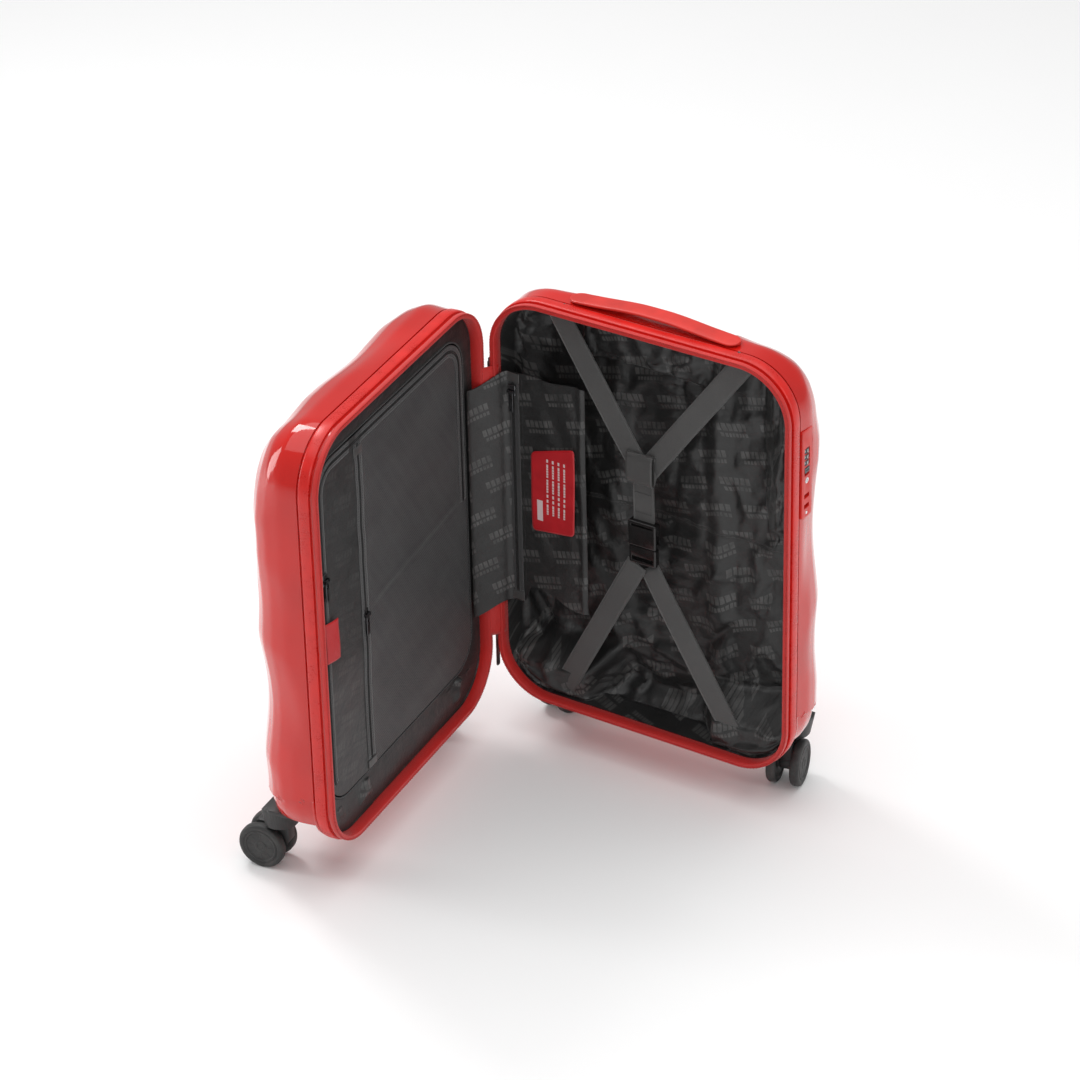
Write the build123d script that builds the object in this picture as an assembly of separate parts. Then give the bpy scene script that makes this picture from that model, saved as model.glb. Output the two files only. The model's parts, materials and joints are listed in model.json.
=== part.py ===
"""Hard shell cabin suitcase on four twin-wheel casters, standing open.

Everything is drawn with the case closed, in the case's own frame: X runs from the hinge side to the
lock side, Y from the front half to the back half with the parting plane at Y = 0, and Z is up from the
floor. The front half is then swung open about the hinge line, and the whole is moved so that its
origin lies on the floor under the middle of its footprint. Millimetres throughout.
"""
from build123d import *
import os
from math import cos, radians, sin

# ---- driving dimensions ----------------------------------------------------------------------------
RIM_WIDTH = 362.0
RIM_HEIGHT = 490.0
RIM_RADIUS = 62.0
RIM_Z = 50.0                 # floor to the underside of the rim
HALF_DEPTH = 104.0           # parting plane to the flat back of each half
WALL = 2.4                   # shell thickness
PART_GAP = 0.3               # each half stops this far short of the parting plane
HINGE_X = -2.0               # hinge line, just outside the rim
LID_REST = 84.0              # how far the front half stands open
ORIGIN = (130.0, -132.0)     # middle of the open footprint, in the case's frame

MID_X = RIM_WIDTH / 2
MID_Z = RIM_Z + RIM_HEIGHT / 2
RIM_TOP = RIM_Z + RIM_HEIGHT

# rim build-up, as insets from the rim outline and depths from the parting plane
BAND_Y = (9.0, 21.0)         # piping band that caps the joint between shell and zip
FLANGE_INSET = 3.0           # shell flange that the piping and the zip are sewn to
TAPE_INSET = (1.5, 7.2)
TAPE_LIP = 6.0
TAPE_DEPTH = 15.0

# section: depth, growth in width, growth in height, drop of its centre, corner radius
SHELL_SECTIONS = (
    (21.0, -2.0, -2.0, 0.0, 61.0),
    (45.0, 2.0, -2.0, 0.0, 61.0),
    (70.0, -8.0, -14.0, 5.0, 58.0),
    (90.0, -46.0, -46.0, 12.0, 50.0),
    (HALF_DEPTH, -120.0, -100.0, 25.0, 36.0),
)
LINING_SECTIONS = (
    (13.0, -17.4, -17.4, 0.0, 53.0),
    (40.0, -18.0, -21.0, 0.0, 52.0),
    (60.0, -30.0, -42.0, 4.0, 48.0),
    (73.0, -80.0, -110.0, 10.0, 40.0),
)
LINING_WALL = 1.2

# trolley
TUBE_SPACING = 122.0
TUBE_Y = 84.0
TUBE_BOTTOM = 104.0
RECESS = (97.0, 265.0, 46.0, 486.0)       # low x, high x, front y, floor z of the grip's recess
GRIP_Z = (490.0, 506.0)

# casters
CASTER_INSET = 42.0
CASTER_Y = 88.0
CASTER_TRAIL = 17.0
WHEEL_RADIUS = 26.0
WHEEL_WIDTH = 11.0
WHEEL_INNER = 7.6            # from the middle of the fork to the wheel's inner face
AXLE_RADIUS = 2.5
ARCH = (95.0, 26.0, 83.0)    # reach in from the side, front y, ceiling z of each wheel arch
# rest heading of each caster's trail: 0 points away from the parting plane, 180 towards it
CASTERS = (
    ("back_hinge", "back", CASTER_INSET, 172.0),
    ("back_lock", "back", RIM_WIDTH - CASTER_INSET, 193.0),
    ("front_hinge", "front", CASTER_INSET, 188.0),
    ("front_lock", "front", RIM_WIDTH - CASTER_INSET, 2.0),
)

# lock, on the back half's lock side
LOCK_X = (347.0, 362.8)
LOCK_Y = (24.0, 44.5)
LOCK_Z = (362.0, 465.0)
LOCK_AXIS_Y = 34.2
DIAL_RADIUS = 7.0
DIAL_THICKNESS = 5.4
DIAL_AXIS_X = 356.5
DIAL_Z = (440.0, 433.0, 426.0)
BUTTON_SLOT_Z = (411.0, 421.0)
KEY_Z = 405.0
PULL_SLOT_Z = (387.0, 375.0)
RESET_Z = 367.0

# carry handle
HANDLE_X = (84.0, 284.0)
HANDLE_Y = (22.5, 44.5)
HANDLE_FOOT_Z = 540.6
HANDLE_THICKNESS = 4.0
HANDLE_RISE = 6.0
HANDLE_STEM_INSET = 12.0
HANDLE_CUP_RADIUS = 7.0

# soft fittings
STRAP_WIDTH = 25.0
STRAP_THICKNESS = 1.2
STRAP_Y = 18.0
STRAP_X = 178.0
DIVIDER_Y = 16.0
DIVIDER_X = (24.0, 338.0)
DIVIDER_Z = (100.0, 500.0)
DIVIDER_RADIUS = 36.0
POCKET_X = (10.4, 105.0)
POCKET_Y = (12.8, 15.2)
POCKET_Z = (164.0, 445.0)


# ---- small helpers ---------------------------------------------------------------------------------
def block(x, y, z, radius=0.0):
    """Box between pairs of limits, with its upright edges rounded."""
    solid = Pos(sum(x) / 2, sum(y) / 2, sum(z) / 2) * Box(x[1] - x[0], y[1] - y[0], z[1] - z[0])
    return fillet(solid.edges().filter_by(Axis.Z), radius) if radius else solid


def rod(centre, radius, length, axis):
    """Cylinder centred on a point, along X, Y or Z."""
    turn = {"X": Rot(0, 90, 0), "Y": Rot(90, 0, 0), "Z": Rot(0, 0, 0)}[axis]
    return Pos(*centre) * turn * Cylinder(radius, length)


def soften(solid, radius, axis=None):
    """Round a solid's edges, all of them or only those along one axis."""
    edges = solid.edges().filter_by(axis) if axis else solid.edges()
    return fillet(edges, radius)


def outline(depth, grow_width, grow_height, drop, radius):
    """Rounded rectangle across the case at one depth, seen from the front."""
    plane = Plane(origin=(MID_X, depth, MID_Z - drop), x_dir=(1, 0, 0), z_dir=(0, -1, 0))
    return plane * RectangleRounded(RIM_WIDTH + grow_width, RIM_HEIGHT + grow_height, radius)


def ring(outer_inset, inner_inset, y):
    """Band that follows the rim outline, between two insets and two depths."""
    def slab(inset):
        face = outline(y[1], -2 * inset, -2 * inset, 0.0, RIM_RADIUS - inset)
        return extrude(face, amount=y[1] - y[0])
    return slab(outer_inset) - slab(inner_inset)


def arches(grow):
    """Spaces that the casters turn in, at the two bottom corners of a half."""
    reach, front, ceiling = ARCH
    pair = [
        block((-30.0, reach + grow), (front - grow, 160.0), (-10.0, ceiling + grow)),
        block((RIM_WIDTH - reach - grow, RIM_WIDTH + 30.0), (front - grow, 160.0), (-10.0, ceiling + grow)),
    ]
    return [soften(space, 8.0 + grow, Axis.Y) for space in pair]


def recess(grow):
    """Space in the top of the back half that the trolley grip sits in."""
    low, high, front, floor = RECESS
    space = block((low - grow, high + grow), (front - grow, 160.0), (floor - grow, 620.0))
    return soften(space, 8.0 + grow, Axis.Y)


def hollow(sections, wall, notches):
    """Open basin lofted through its sections. notches(grow) are spaces pressed in from outside."""
    outer = loft([outline(*section) for section in sections])
    inner_sections = []
    for index, (depth, width, height, drop, radius) in enumerate(sections):
        if index == 0:
            depth -= 0.5
        elif index == len(sections) - 1:
            depth -= wall
        inner_sections.append((depth, width - 2 * wall, height - 2 * wall, drop, radius - wall))
    inner = loft([outline(*section) for section in inner_sections])
    for space in notches(0.0):
        outer -= space
    for space in notches(wall):
        inner -= space
    return outer - inner


def pair_of(make, spacing=TUBE_SPACING):
    """Two copies, one each side of the middle of the case."""
    return make(MID_X - spacing / 2) + make(MID_X + spacing / 2)


# ---- shells, rims and linings ----------------------------------------------------------------------
def shell(notches):
    """Moulded shell with the flange and shoulder that carry the rim."""
    body = hollow(SHELL_SECTIONS, WALL, notches)
    flange = ring(FLANGE_INSET, FLANGE_INSET + WALL, (TAPE_LIP, BAND_Y[1] + 1.0))
    shoulder = ring(1.2, FLANGE_INSET + WALL, (BAND_Y[1], BAND_Y[1] + 2.5))
    return body + flange + shoulder


def back_shell():
    body = shell(lambda grow: arches(grow) + [recess(grow)])
    body -= block(LOCK_X, LOCK_Y, LOCK_Z)
    body -= pair_of(lambda x: block((x - 12.0, x + 12.0), (TUBE_Y - 8.0, TUBE_Y + 8.0), (470.0, 490.0)))
    for x in stem_places():
        body -= rod((x, sum(HANDLE_Y) / 2, HANDLE_FOOT_Z), HANDLE_CUP_RADIUS, 20.0, "Z")
    return body


def rim_band():
    return soften(ring(0.0, FLANGE_INSET, BAND_Y), 0.8)


def zip_tape():
    """Tape of the main zip: a lip round the edge of the flange, and its sewn tail inside."""
    low, high = TAPE_INSET
    lip = ring(low, high, (PART_GAP, TAPE_LIP))
    tail = ring(FLANGE_INSET + WALL, high, (TAPE_LIP, TAPE_DEPTH))
    return lip + tail


def lining(with_fittings):
    """Fabric liner, held off the shell where arches, recess and lock come in."""
    def notches(grow):
        reach, front, ceiling = ARCH
        clear = 5.0 + grow
        spaces = [
            block((-30.0, reach + clear), (front - clear, 160.0), (-10.0, ceiling + clear)),
            block((RIM_WIDTH - reach - clear, RIM_WIDTH + 30.0), (front - clear, 160.0),
                  (-10.0, ceiling + clear)),
        ]
        if with_fittings:
            low, high, recess_front, floor = RECESS
            spaces.append(block((low - clear, high + clear), (recess_front - clear, 160.0),
                                (floor - clear, 620.0)))
            spaces.append(block((LOCK_X[0] - 1.5 - grow, 400.0), (16.0 - grow, LOCK_Y[1] + 2.0 + grow),
                                (LOCK_Z[0] - 3.0 - grow, LOCK_Z[1] + 3.0 + grow)))
        return spaces
    return hollow(LINING_SECTIONS, LINING_WALL, notches)


# ---- carry handle ----------------------------------------------------------------------------------
def stem_places():
    return (HANDLE_X[0] + HANDLE_STEM_INSET, HANDLE_X[1] - HANDLE_STEM_INSET)


def carry_handle():
    """Low arched strip with round ends, and a headed stem under each end."""
    flat = 22.0
    middle = sum(HANDLE_X) / 2
    low, high = HANDLE_FOOT_Z, HANDLE_FOOT_Z + HANDLE_THICKNESS
    left, right = HANDLE_X[0] + flat, HANDLE_X[1] - flat
    with BuildPart() as strip:
        with BuildSketch(Plane.XZ.offset(-HANDLE_Y[1])):
            with BuildLine():
                Line((HANDLE_X[0], low), (left, low))
                ThreePointArc((left, low), (middle, low + HANDLE_RISE), (right, low))
                Line((right, low), (HANDLE_X[1], low))
                Line((HANDLE_X[1], low), (HANDLE_X[1], high))
                Line((HANDLE_X[1], high), (right, high))
                ThreePointArc((right, high), (middle, high + HANDLE_RISE), (left, high))
                Line((left, high), (HANDLE_X[0], high))
                Line((HANDLE_X[0], high), (HANDLE_X[0], low))
            make_face()
        extrude(amount=HANDLE_Y[1] - HANDLE_Y[0])
    width = HANDLE_Y[1] - HANDLE_Y[0]
    plan = Pos(middle, sum(HANDLE_Y) / 2, 500.0) * RectangleRounded(HANDLE_X[1] - HANDLE_X[0], width, 10.8)
    body = strip.part & extrude(plan, amount=100.0)
    for x in stem_places():
        body += rod((x, sum(HANDLE_Y) / 2, low - 2.3), 3.0, 5.0, "Z")
    return body


def handle_feet():
    """Cups set in the shell that guide the handle's stems."""
    feet = []
    for x in stem_places():
        y = sum(HANDLE_Y) / 2
        cup = rod((x, y, HANDLE_FOOT_Z - 3.5), HANDLE_CUP_RADIUS, 5.8, "Z")
        feet.append(cup - rod((x, y, HANDLE_FOOT_Z - 2.4), 3.4, 6.0, "Z"))
    return feet[0] + feet[1]


# ---- lock ------------------------------------------------------------------------------------------
def lock_housing():
    """Body of the combination lock, with pockets for its dials, buttons, key and zip pulls."""
    body = soften(block(LOCK_X, LOCK_Y, LOCK_Z), 3.0, Axis.X)
    y = LOCK_AXIS_Y
    face = LOCK_X[1] + 1.0
    for z in DIAL_Z:
        half = DIAL_THICKNESS / 2 + 0.3
        body -= block((349.0, 361.6), (y - 7.5, y + 7.5), (z - half, z + half))
        body -= block((361.0, face), (y - 5.2, y + 5.2), (z - half, z + half))
    body += rod((DIAL_AXIS_X, y, DIAL_Z[1]), 1.5, 24.0, "Z")
    body -= block((357.0, face), (y - 5.0, y + 5.0), BUTTON_SLOT_Z)
    body -= rod((357.0, y, KEY_Z), 3.25, 14.0, "X")
    for z in PULL_SLOT_Z:
        body -= block((352.0, face), (y - 5.0, y + 5.0), (z - 2.6, z + 2.6))
    body -= rod((357.5, y, RESET_Z), 1.85, 14.0, "X")
    return body


def lock_dial(z):
    """Number wheel, bored for the lock's shaft, with ten shallow finger grooves."""
    wheel = rod((DIAL_AXIS_X, LOCK_AXIS_Y, z), DIAL_RADIUS, DIAL_THICKNESS, "Z")
    wheel -= rod((DIAL_AXIS_X, LOCK_AXIS_Y, z), 1.6, DIAL_THICKNESS + 2.0, "Z")
    for step in range(10):
        angle = radians(36.0 * step + 18.0)
        place = (DIAL_AXIS_X + 7.5 * cos(angle), LOCK_AXIS_Y + 7.5 * sin(angle), z)
        wheel -= rod(place, 0.9, DIAL_THICKNESS + 2.0, "Z")
    return wheel


def lock_button():
    y = LOCK_AXIS_Y
    cap = soften(block((357.4, 363.6), (y - 4.6, y + 4.6), (414.6, 420.6)), 0.8)
    return cap - block((362.8, 364.0), (y - 3.0, y + 3.0), (417.0, 418.2))


def lock_key_core():
    core = rod((357.0, LOCK_AXIS_Y, KEY_Z), 3.2, 12.0, "X")
    return core - block((360.0, 364.0), (LOCK_AXIS_Y - 0.6, LOCK_AXIS_Y + 0.6), (KEY_Z - 2.2, KEY_Z + 2.2))


def lock_reset_pin():
    return soften(rod((358.0, LOCK_AXIS_Y, RESET_Z), 1.8, 10.0, "X"), 0.4)


# ---- trolley ---------------------------------------------------------------------------------------
def tube(x, width, depth, wall, z):
    """Upright rounded-rectangle tube."""
    def core(inset):
        plan = Pos(x, TUBE_Y, z[0]) * RectangleRounded(width - 2 * inset, depth - 2 * inset, 4.0 - inset)
        return extrude(plan, amount=z[1] - z[0])
    return core(0.0) - core(wall)


def outer_tubes():
    return pair_of(lambda x: tube(x, 26.0, 18.0, 1.2, (TUBE_BOTTOM, RECESS[3] - WALL - 0.2)))


def middle_tubes():
    return pair_of(lambda x: tube(x, 23.0, 15.0, 1.2, (TUBE_BOTTOM + 6.0, GRIP_Z[0] - 0.6)))


def inner_tubes():
    return pair_of(lambda x: tube(x, 20.0, 12.0, 1.2, (TUBE_BOTTOM + 12.0, GRIP_Z[0] + 6.0)))


def foot_bracket():
    """Bar across the feet of the outer tubes."""
    return block((MID_X - 78.0, MID_X + 78.0), (TUBE_Y - 9.0, TUBE_Y + 9.0), (92.0, TUBE_BOTTOM), 4.0)


def trolley_bezel():
    """Liner plate in the recess, with a hole for each tube."""
    low, high, front, floor = RECESS
    plate = block((low + 8.2, high - 8.2), (front + 0.6, 96.0), (floor, floor + 3.0), 5.0)
    return plate - pair_of(lambda x: block((x - 12.0, x + 12.0), (TUBE_Y - 8.0, TUBE_Y + 8.0),
                                           (floor - 1.0, floor + 4.0), 4.0))


def trolley_grip():
    grip = block((MID_X - 78.0, MID_X + 78.0), (TUBE_Y - 10.0, TUBE_Y + 10.0), GRIP_Z)
    grip = soften(grip, 4.0)
    grip -= pair_of(lambda x: block((x - 10.0, x + 10.0), (TUBE_Y - 6.0, TUBE_Y + 6.0),
                                    (GRIP_Z[0] - 1.0, GRIP_Z[0] + 6.0), 4.0))
    return grip - block((MID_X - 14.0, MID_X + 14.0), (TUBE_Y - 5.5, TUBE_Y + 5.5),
                        (GRIP_Z[1] - 7.0, GRIP_Z[1] + 1.0), 4.0)


def trolley_button():
    cap = block((MID_X - 13.6, MID_X + 13.6), (TUBE_Y - 5.1, TUBE_Y + 5.1),
                (GRIP_Z[1] - 4.0, GRIP_Z[1] + 1.2), 3.6)
    return fillet(cap.faces().sort_by(Axis.Z)[-1].edges(), 0.6)


# ---- straps and buckle -----------------------------------------------------------------------------
def webbing(start, end, y):
    """Flat strap between two points of the X-Z plane."""
    dx, dz = end[0] - start[0], end[1] - start[1]
    length = (dx * dx + dz * dz) ** 0.5
    plane = Plane(origin=((start[0] + end[0]) / 2, y, (start[1] + end[1]) / 2), x_dir=(dx, 0, dz),
                  z_dir=(0, 1, 0))
    return extrude(plane * Rectangle(length, STRAP_WIDTH), amount=STRAP_THICKNESS)


def upper_straps():
    left = webbing((84.0, RIM_Z + 470.0), (166.0, RIM_Z + 338.0), STRAP_Y)
    right = webbing((290.0, RIM_Z + 470.0), (190.0, RIM_Z + 338.0), STRAP_Y)
    return left + right


def lower_straps():
    left = webbing((80.0, RIM_Z + 24.0), (160.0, RIM_Z + 172.0), STRAP_Y - 4.0)
    right = webbing((288.0, RIM_Z + 24.0), (198.0, RIM_Z + 172.0), STRAP_Y - 4.0)
    return left + right


def centre_strap():
    return block((STRAP_X - 12.5, STRAP_X + 12.5), (STRAP_Y, STRAP_Y + STRAP_THICKNESS),
                 (RIM_Z + 261.0, RIM_Z + 304.0))


def strap_keeper():
    """Folded-over loop of webbing that gathers the upper straps."""
    outer = block((STRAP_X - 17.0, STRAP_X + 15.0), (10.0, 17.4), (RIM_Z + 306.0, RIM_Z + 340.0))
    outer = soften(outer, 3.0, Axis.X)
    return outer - block((STRAP_X - 18.0, STRAP_X + 16.0), (12.0, 15.4), (RIM_Z + 310.0, RIM_Z + 336.0))


def buckle_female():
    """Socket of the side-release buckle, open below, with a window on each side."""
    top, bottom = RIM_Z + 258.0, RIM_Z + 228.0
    body = soften(block((STRAP_X - 17.0, STRAP_X + 17.0), (13.0, 23.0), (bottom, top)), 2.0)
    body -= block((STRAP_X - 14.6, STRAP_X + 14.6), (15.4, 20.6), (bottom - 1.0, top - 9.0))
    body -= block((STRAP_X - 20.0, STRAP_X + 20.0), (15.4, 20.6), (bottom + 6.0, bottom + 17.0))
    return body - block((STRAP_X - 13.0, STRAP_X + 13.0), (10.0, 26.0), (top - 6.0, top - 3.6))


def buckle_male():
    """Plug of the buckle: a barred base, two sprung arms and a centre guide."""
    top, bottom = RIM_Z + 227.6, RIM_Z + 206.0
    body = soften(block((STRAP_X - 16.5, STRAP_X + 16.5), (14.0, 22.0), (bottom, top)), 2.0)
    body -= block((STRAP_X - 13.0, STRAP_X + 13.0), (10.0, 26.0), (bottom + 4.0, bottom + 9.0))
    for side in (-1, 1):
        middle = STRAP_X + side * 11.0
        body += block((middle - 2.6, middle + 2.6), (16.0, 20.0), (top - 1.0, top + 18.0))
    return body + block((STRAP_X - 2.0, STRAP_X + 2.0), (16.0, 20.0), (top - 1.0, top + 12.0))


# ---- zips ------------------------------------------------------------------------------------------
def slider(ear_gap=3.1):
    """Zip slider lying on the X-Z plane, facing -Y, with an eared bridge for its pull."""
    body = soften(block((-4.5, 4.5), (-3.0, 0.0), (-6.0, 7.0)), 1.0)
    for side in (-1, 1):
        ear = block(sorted((side * ear_gap, side * (ear_gap + 1.2))), (-6.0, -2.5), (-1.8, 1.8))
        body += ear
    return body - rod((0.0, -4.6, 0.0), 0.8, 20.0, "X")


def pull(length=24.0):
    """Pull tab hanging from a slider's pin."""
    plate = soften(block((-2.8, 2.8), (-5.3, -3.9), (-length, 1.0)), 0.5)
    plate -= block((-1.4, 1.4), (-7.0, -2.0), (-8.5, -3.5), 1.2)
    return plate + rod((0.0, -4.6, 0.0), 0.7, 8.2, "X")


def main_slider(z):
    """Slider of the main zip, parked at one end of it, on the outside of the tape."""
    body = soften(block((-0.5, 1.4), (0.6, 8.4), (z - 7.0, z + 7.0)), 0.5)
    return body + rod((-1.0, 4.2, z), 0.8, 1.6, "X")


def main_pull(z, length=42.0):
    """Long flat pull that hangs against the tape from the main zip's slider."""
    plate = block((-1.9, -0.7), (1.4, 7.0), (z - length, z + 2.2))
    return soften(plate, 1.8, Axis.X) - rod((-1.0, 4.2, z), 0.85, 4.0, "X")


MAIN_ZIP_Z = (RIM_Z + 405.0, RIM_Z + 70.0)


def hinge_strip():
    """Sewn strip along the outside of the tape, between the two ends of the main zip."""
    return block((0.2, 1.4), (0.6, 5.6), (MAIN_ZIP_Z[1] + 8.0, MAIN_ZIP_Z[0] - 8.0))


def facing_front(solid, x, z):
    """Put a slider or pull on the face of the hinge pocket."""
    return Pos(x, POCKET_Y[0] - 0.2, z) * solid


def facing_back(solid, x, z):
    """Put a slider or pull on the face of the divider, looking at the back half."""
    return Pos(x, -DIVIDER_Y + 0.2, z) * Rot(0, 0, 180) * solid


def divider_panel():
    """Zipped panel across the front half."""
    plane = Plane(origin=(sum(DIVIDER_X) / 2, -DIVIDER_Y, sum(DIVIDER_Z) / 2), x_dir=(1, 0, 0),
                  z_dir=(0, -1, 0))
    face = plane * RectangleRounded(DIVIDER_X[1] - DIVIDER_X[0], DIVIDER_Z[1] - DIVIDER_Z[0], DIVIDER_RADIUS)
    return extrude(face, amount=2.0)


def divider_frame():
    """Fabric frame between the front rim and the divider's zip."""
    sheet = extrude(outline(DIVIDER_Y + 2.0, -18.6, -18.6, 0.0, RIM_RADIUS - 9.6), amount=2.0)
    width = DIVIDER_X[1] - DIVIDER_X[0] + 1.2
    height = DIVIDER_Z[1] - DIVIDER_Z[0] + 1.2
    plane = Plane(origin=(sum(DIVIDER_X) / 2, DIVIDER_Y + 3.0, sum(DIVIDER_Z) / 2), x_dir=(1, 0, 0),
                  z_dir=(0, -1, 0))
    return sheet - extrude(plane * RectangleRounded(width, height, DIVIDER_RADIUS + 0.6), amount=5.0)


# ---- casters ---------------------------------------------------------------------------------------
def caster_housings():
    """Swivel housings screwed under the two wheel arches of a half."""
    pair = []
    for x in (CASTER_INSET, RIM_WIDTH - CASTER_INSET):
        cap = Pos(x, CASTER_Y, 53.6) * Cone(19.0, 24.0, 25.0, align=(Align.CENTER, Align.CENTER, Align.MIN))
        foot = block((x - 27.0, x + 27.0), (CASTER_Y - 30.0, CASTER_Y + 4.0), (78.6, ARCH[2]), 8.0)
        cap &= block((x - 40.0, x + 40.0), (CASTER_Y - 30.0, CASTER_Y + 10.0), (50.0, 78.6))
        pair.append(cap + foot - rod((x, CASTER_Y, 57.0), 6.06, 12.0, "Z"))
    return pair[0] + pair[1]


def caster_fork():
    """Swivelling fork between the twin wheels; swivel axis on Z, trail along +Y."""
    arm = soften(block((-7.0, 7.0), (-11.0, CASTER_TRAIL + 9.0), (30.0, 52.4)), 3.0, Axis.X)
    hub = rod((0.0, CASTER_TRAIL, WHEEL_RADIUS), 9.5, 14.0, "X")
    stem = rod((0.0, 0.0, 57.0), 6.0, 10.0, "Z")
    return arm + hub + stem - rod((0.0, CASTER_TRAIL, WHEEL_RADIUS), AXLE_RADIUS, 30.0, "X")


def caster_axle():
    return rod((0.0, CASTER_TRAIL, WHEEL_RADIUS), AXLE_RADIUS, 2 * WHEEL_INNER + 16.0, "X")


def caster_wheel(side):
    """One of the twin wheels, with a rounded tread and a ring on its closed outer face."""
    middle = WHEEL_INNER + WHEEL_WIDTH / 2
    wheel = soften(rod((middle, CASTER_TRAIL, WHEEL_RADIUS), WHEEL_RADIUS, WHEEL_WIDTH, "X"), 2.6)
    outer = WHEEL_INNER + WHEEL_WIDTH
    groove = rod((outer, CASTER_TRAIL, WHEEL_RADIUS), 18.6, 1.6, "X")
    groove -= rod((outer, CASTER_TRAIL, WHEEL_RADIUS), 17.2, 2.0, "X")
    bore = rod((WHEEL_INNER + 4.0, CASTER_TRAIL, WHEEL_RADIUS), AXLE_RADIUS + 0.05, 10.0, "X")
    wheel = wheel - groove - bore
    return wheel if side > 0 else mirror(wheel, about=Plane.YZ)


def casters():
    """Every caster's parts, placed and turned to its rest heading, keyed by half."""
    nodes = {"back": {}, "front": {}}
    for name, half, x, heading in CASTERS:
        side = 1 if half == "back" else -1
        place = Pos(x, side * CASTER_Y, 0) * Rot(0, 0, heading if side > 0 else heading + 180.0)
        nodes[half][f"caster_{name}_fork"] = place * caster_fork()
        nodes[half][f"caster_{name}_axle"] = place * caster_axle()
        nodes[half][f"caster_{name}_wheel_a"] = place * caster_wheel(1)
        nodes[half][f"caster_{name}_wheel_b"] = place * caster_wheel(-1)
    return nodes


# ---- assembly --------------------------------------------------------------------------------------
def back_half():
    nodes = {
        "back_shell": back_shell(),
        "back_rim": rim_band(),
        "back_zip_tape": zip_tape(),
        "back_lining": lining(with_fittings=True),
        "hinge_strip": hinge_strip(),
        "upper_straps": upper_straps(),
        "lower_straps": lower_straps(),
        "centre_strap": centre_strap(),
        "strap_keeper": strap_keeper(),
        "buckle_female": buckle_female(),
        "buckle_male": buckle_male(),
        "hinge_pocket": block(POCKET_X, POCKET_Y, POCKET_Z),
        "hinge_pocket_slider": facing_front(slider(), 22.0, RIM_Z + 374.0),
        "hinge_pocket_pull": facing_front(pull(), 22.0, RIM_Z + 374.0),
        "carry_handle": carry_handle(),
        "handle_feet": handle_feet(),
        "lock_housing": lock_housing(),
        "lock_button": lock_button(),
        "lock_key_core": lock_key_core(),
        "lock_reset_pin": lock_reset_pin(),
        "trolley_bezel": trolley_bezel(),
        "trolley_outer_tubes": outer_tubes(),
        "trolley_foot_bracket": foot_bracket(),
        "trolley_middle_tubes": middle_tubes(),
        "trolley_inner_tubes": inner_tubes(),
        "trolley_grip": trolley_grip(),
        "trolley_button": trolley_button(),
        "back_caster_housings": caster_housings(),
        "main_zip_sliders": main_slider(MAIN_ZIP_Z[0]) + main_slider(MAIN_ZIP_Z[1]),
        "main_zip_pull_top": main_pull(MAIN_ZIP_Z[0]),
        "main_zip_pull_bottom": main_pull(MAIN_ZIP_Z[1]),
    }
    for number, z in enumerate(DIAL_Z, start=1):
        nodes[f"lock_dial_{number}"] = lock_dial(z)
    return nodes


def front_half():
    """The front half mirrors the back one, without trolley, handle or lock."""
    nodes = {
        "front_shell": mirror(shell(arches), about=Plane.XZ),
        "front_rim": mirror(rim_band(), about=Plane.XZ),
        "front_zip_tape": mirror(zip_tape(), about=Plane.XZ),
        "front_lining": mirror(lining(with_fittings=False) + divider_frame(), about=Plane.XZ),
        "front_caster_housings": mirror(caster_housings(), about=Plane.XZ),
        "divider_panel": divider_panel(),
        "divider_slider": facing_back(slider(), 330.0, RIM_Z + 322.0),
        "divider_pull": facing_back(pull(), 330.0, RIM_Z + 322.0),
        "divider_pocket_slider": facing_back(slider(), 252.0, RIM_Z + 238.0),
        "divider_pocket_pull": facing_back(pull(), 252.0, RIM_Z + 238.0),
    }
    return nodes


def main():
    os.makedirs("parts", exist_ok=True)
    to_row = Pos(-ORIGIN[0], -ORIGIN[1], 0)
    swing = Pos(HINGE_X, 0, 0) * Rot(0, 0, -LID_REST) * Pos(-HINGE_X, 0, 0)
    turned = casters()
    placed = {name: to_row * solid for name, solid in (back_half() | turned["back"]).items()}
    placed |= {name: to_row * swing * solid for name, solid in (front_half() | turned["front"]).items()}
    for name, solid in placed.items():
        export_step(solid, f"parts/{name}.step")


main()
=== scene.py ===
"""Looks of an open hard shell suitcase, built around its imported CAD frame.

Shapes are drawn in the case's own frame, in millimetres: X from the hinge side to the lock side, Y from
the parting plane into a half, Z up from the floor. to_row() puts them in the row frame, in metres, on the
back half or, mirrored and swung open, on the front half.
"""
import json
from contextlib import contextmanager
from math import cos, pi, radians, sin

import bmesh
import bpy
import numpy as np
from mathutils import Matrix, Vector, noise

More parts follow.
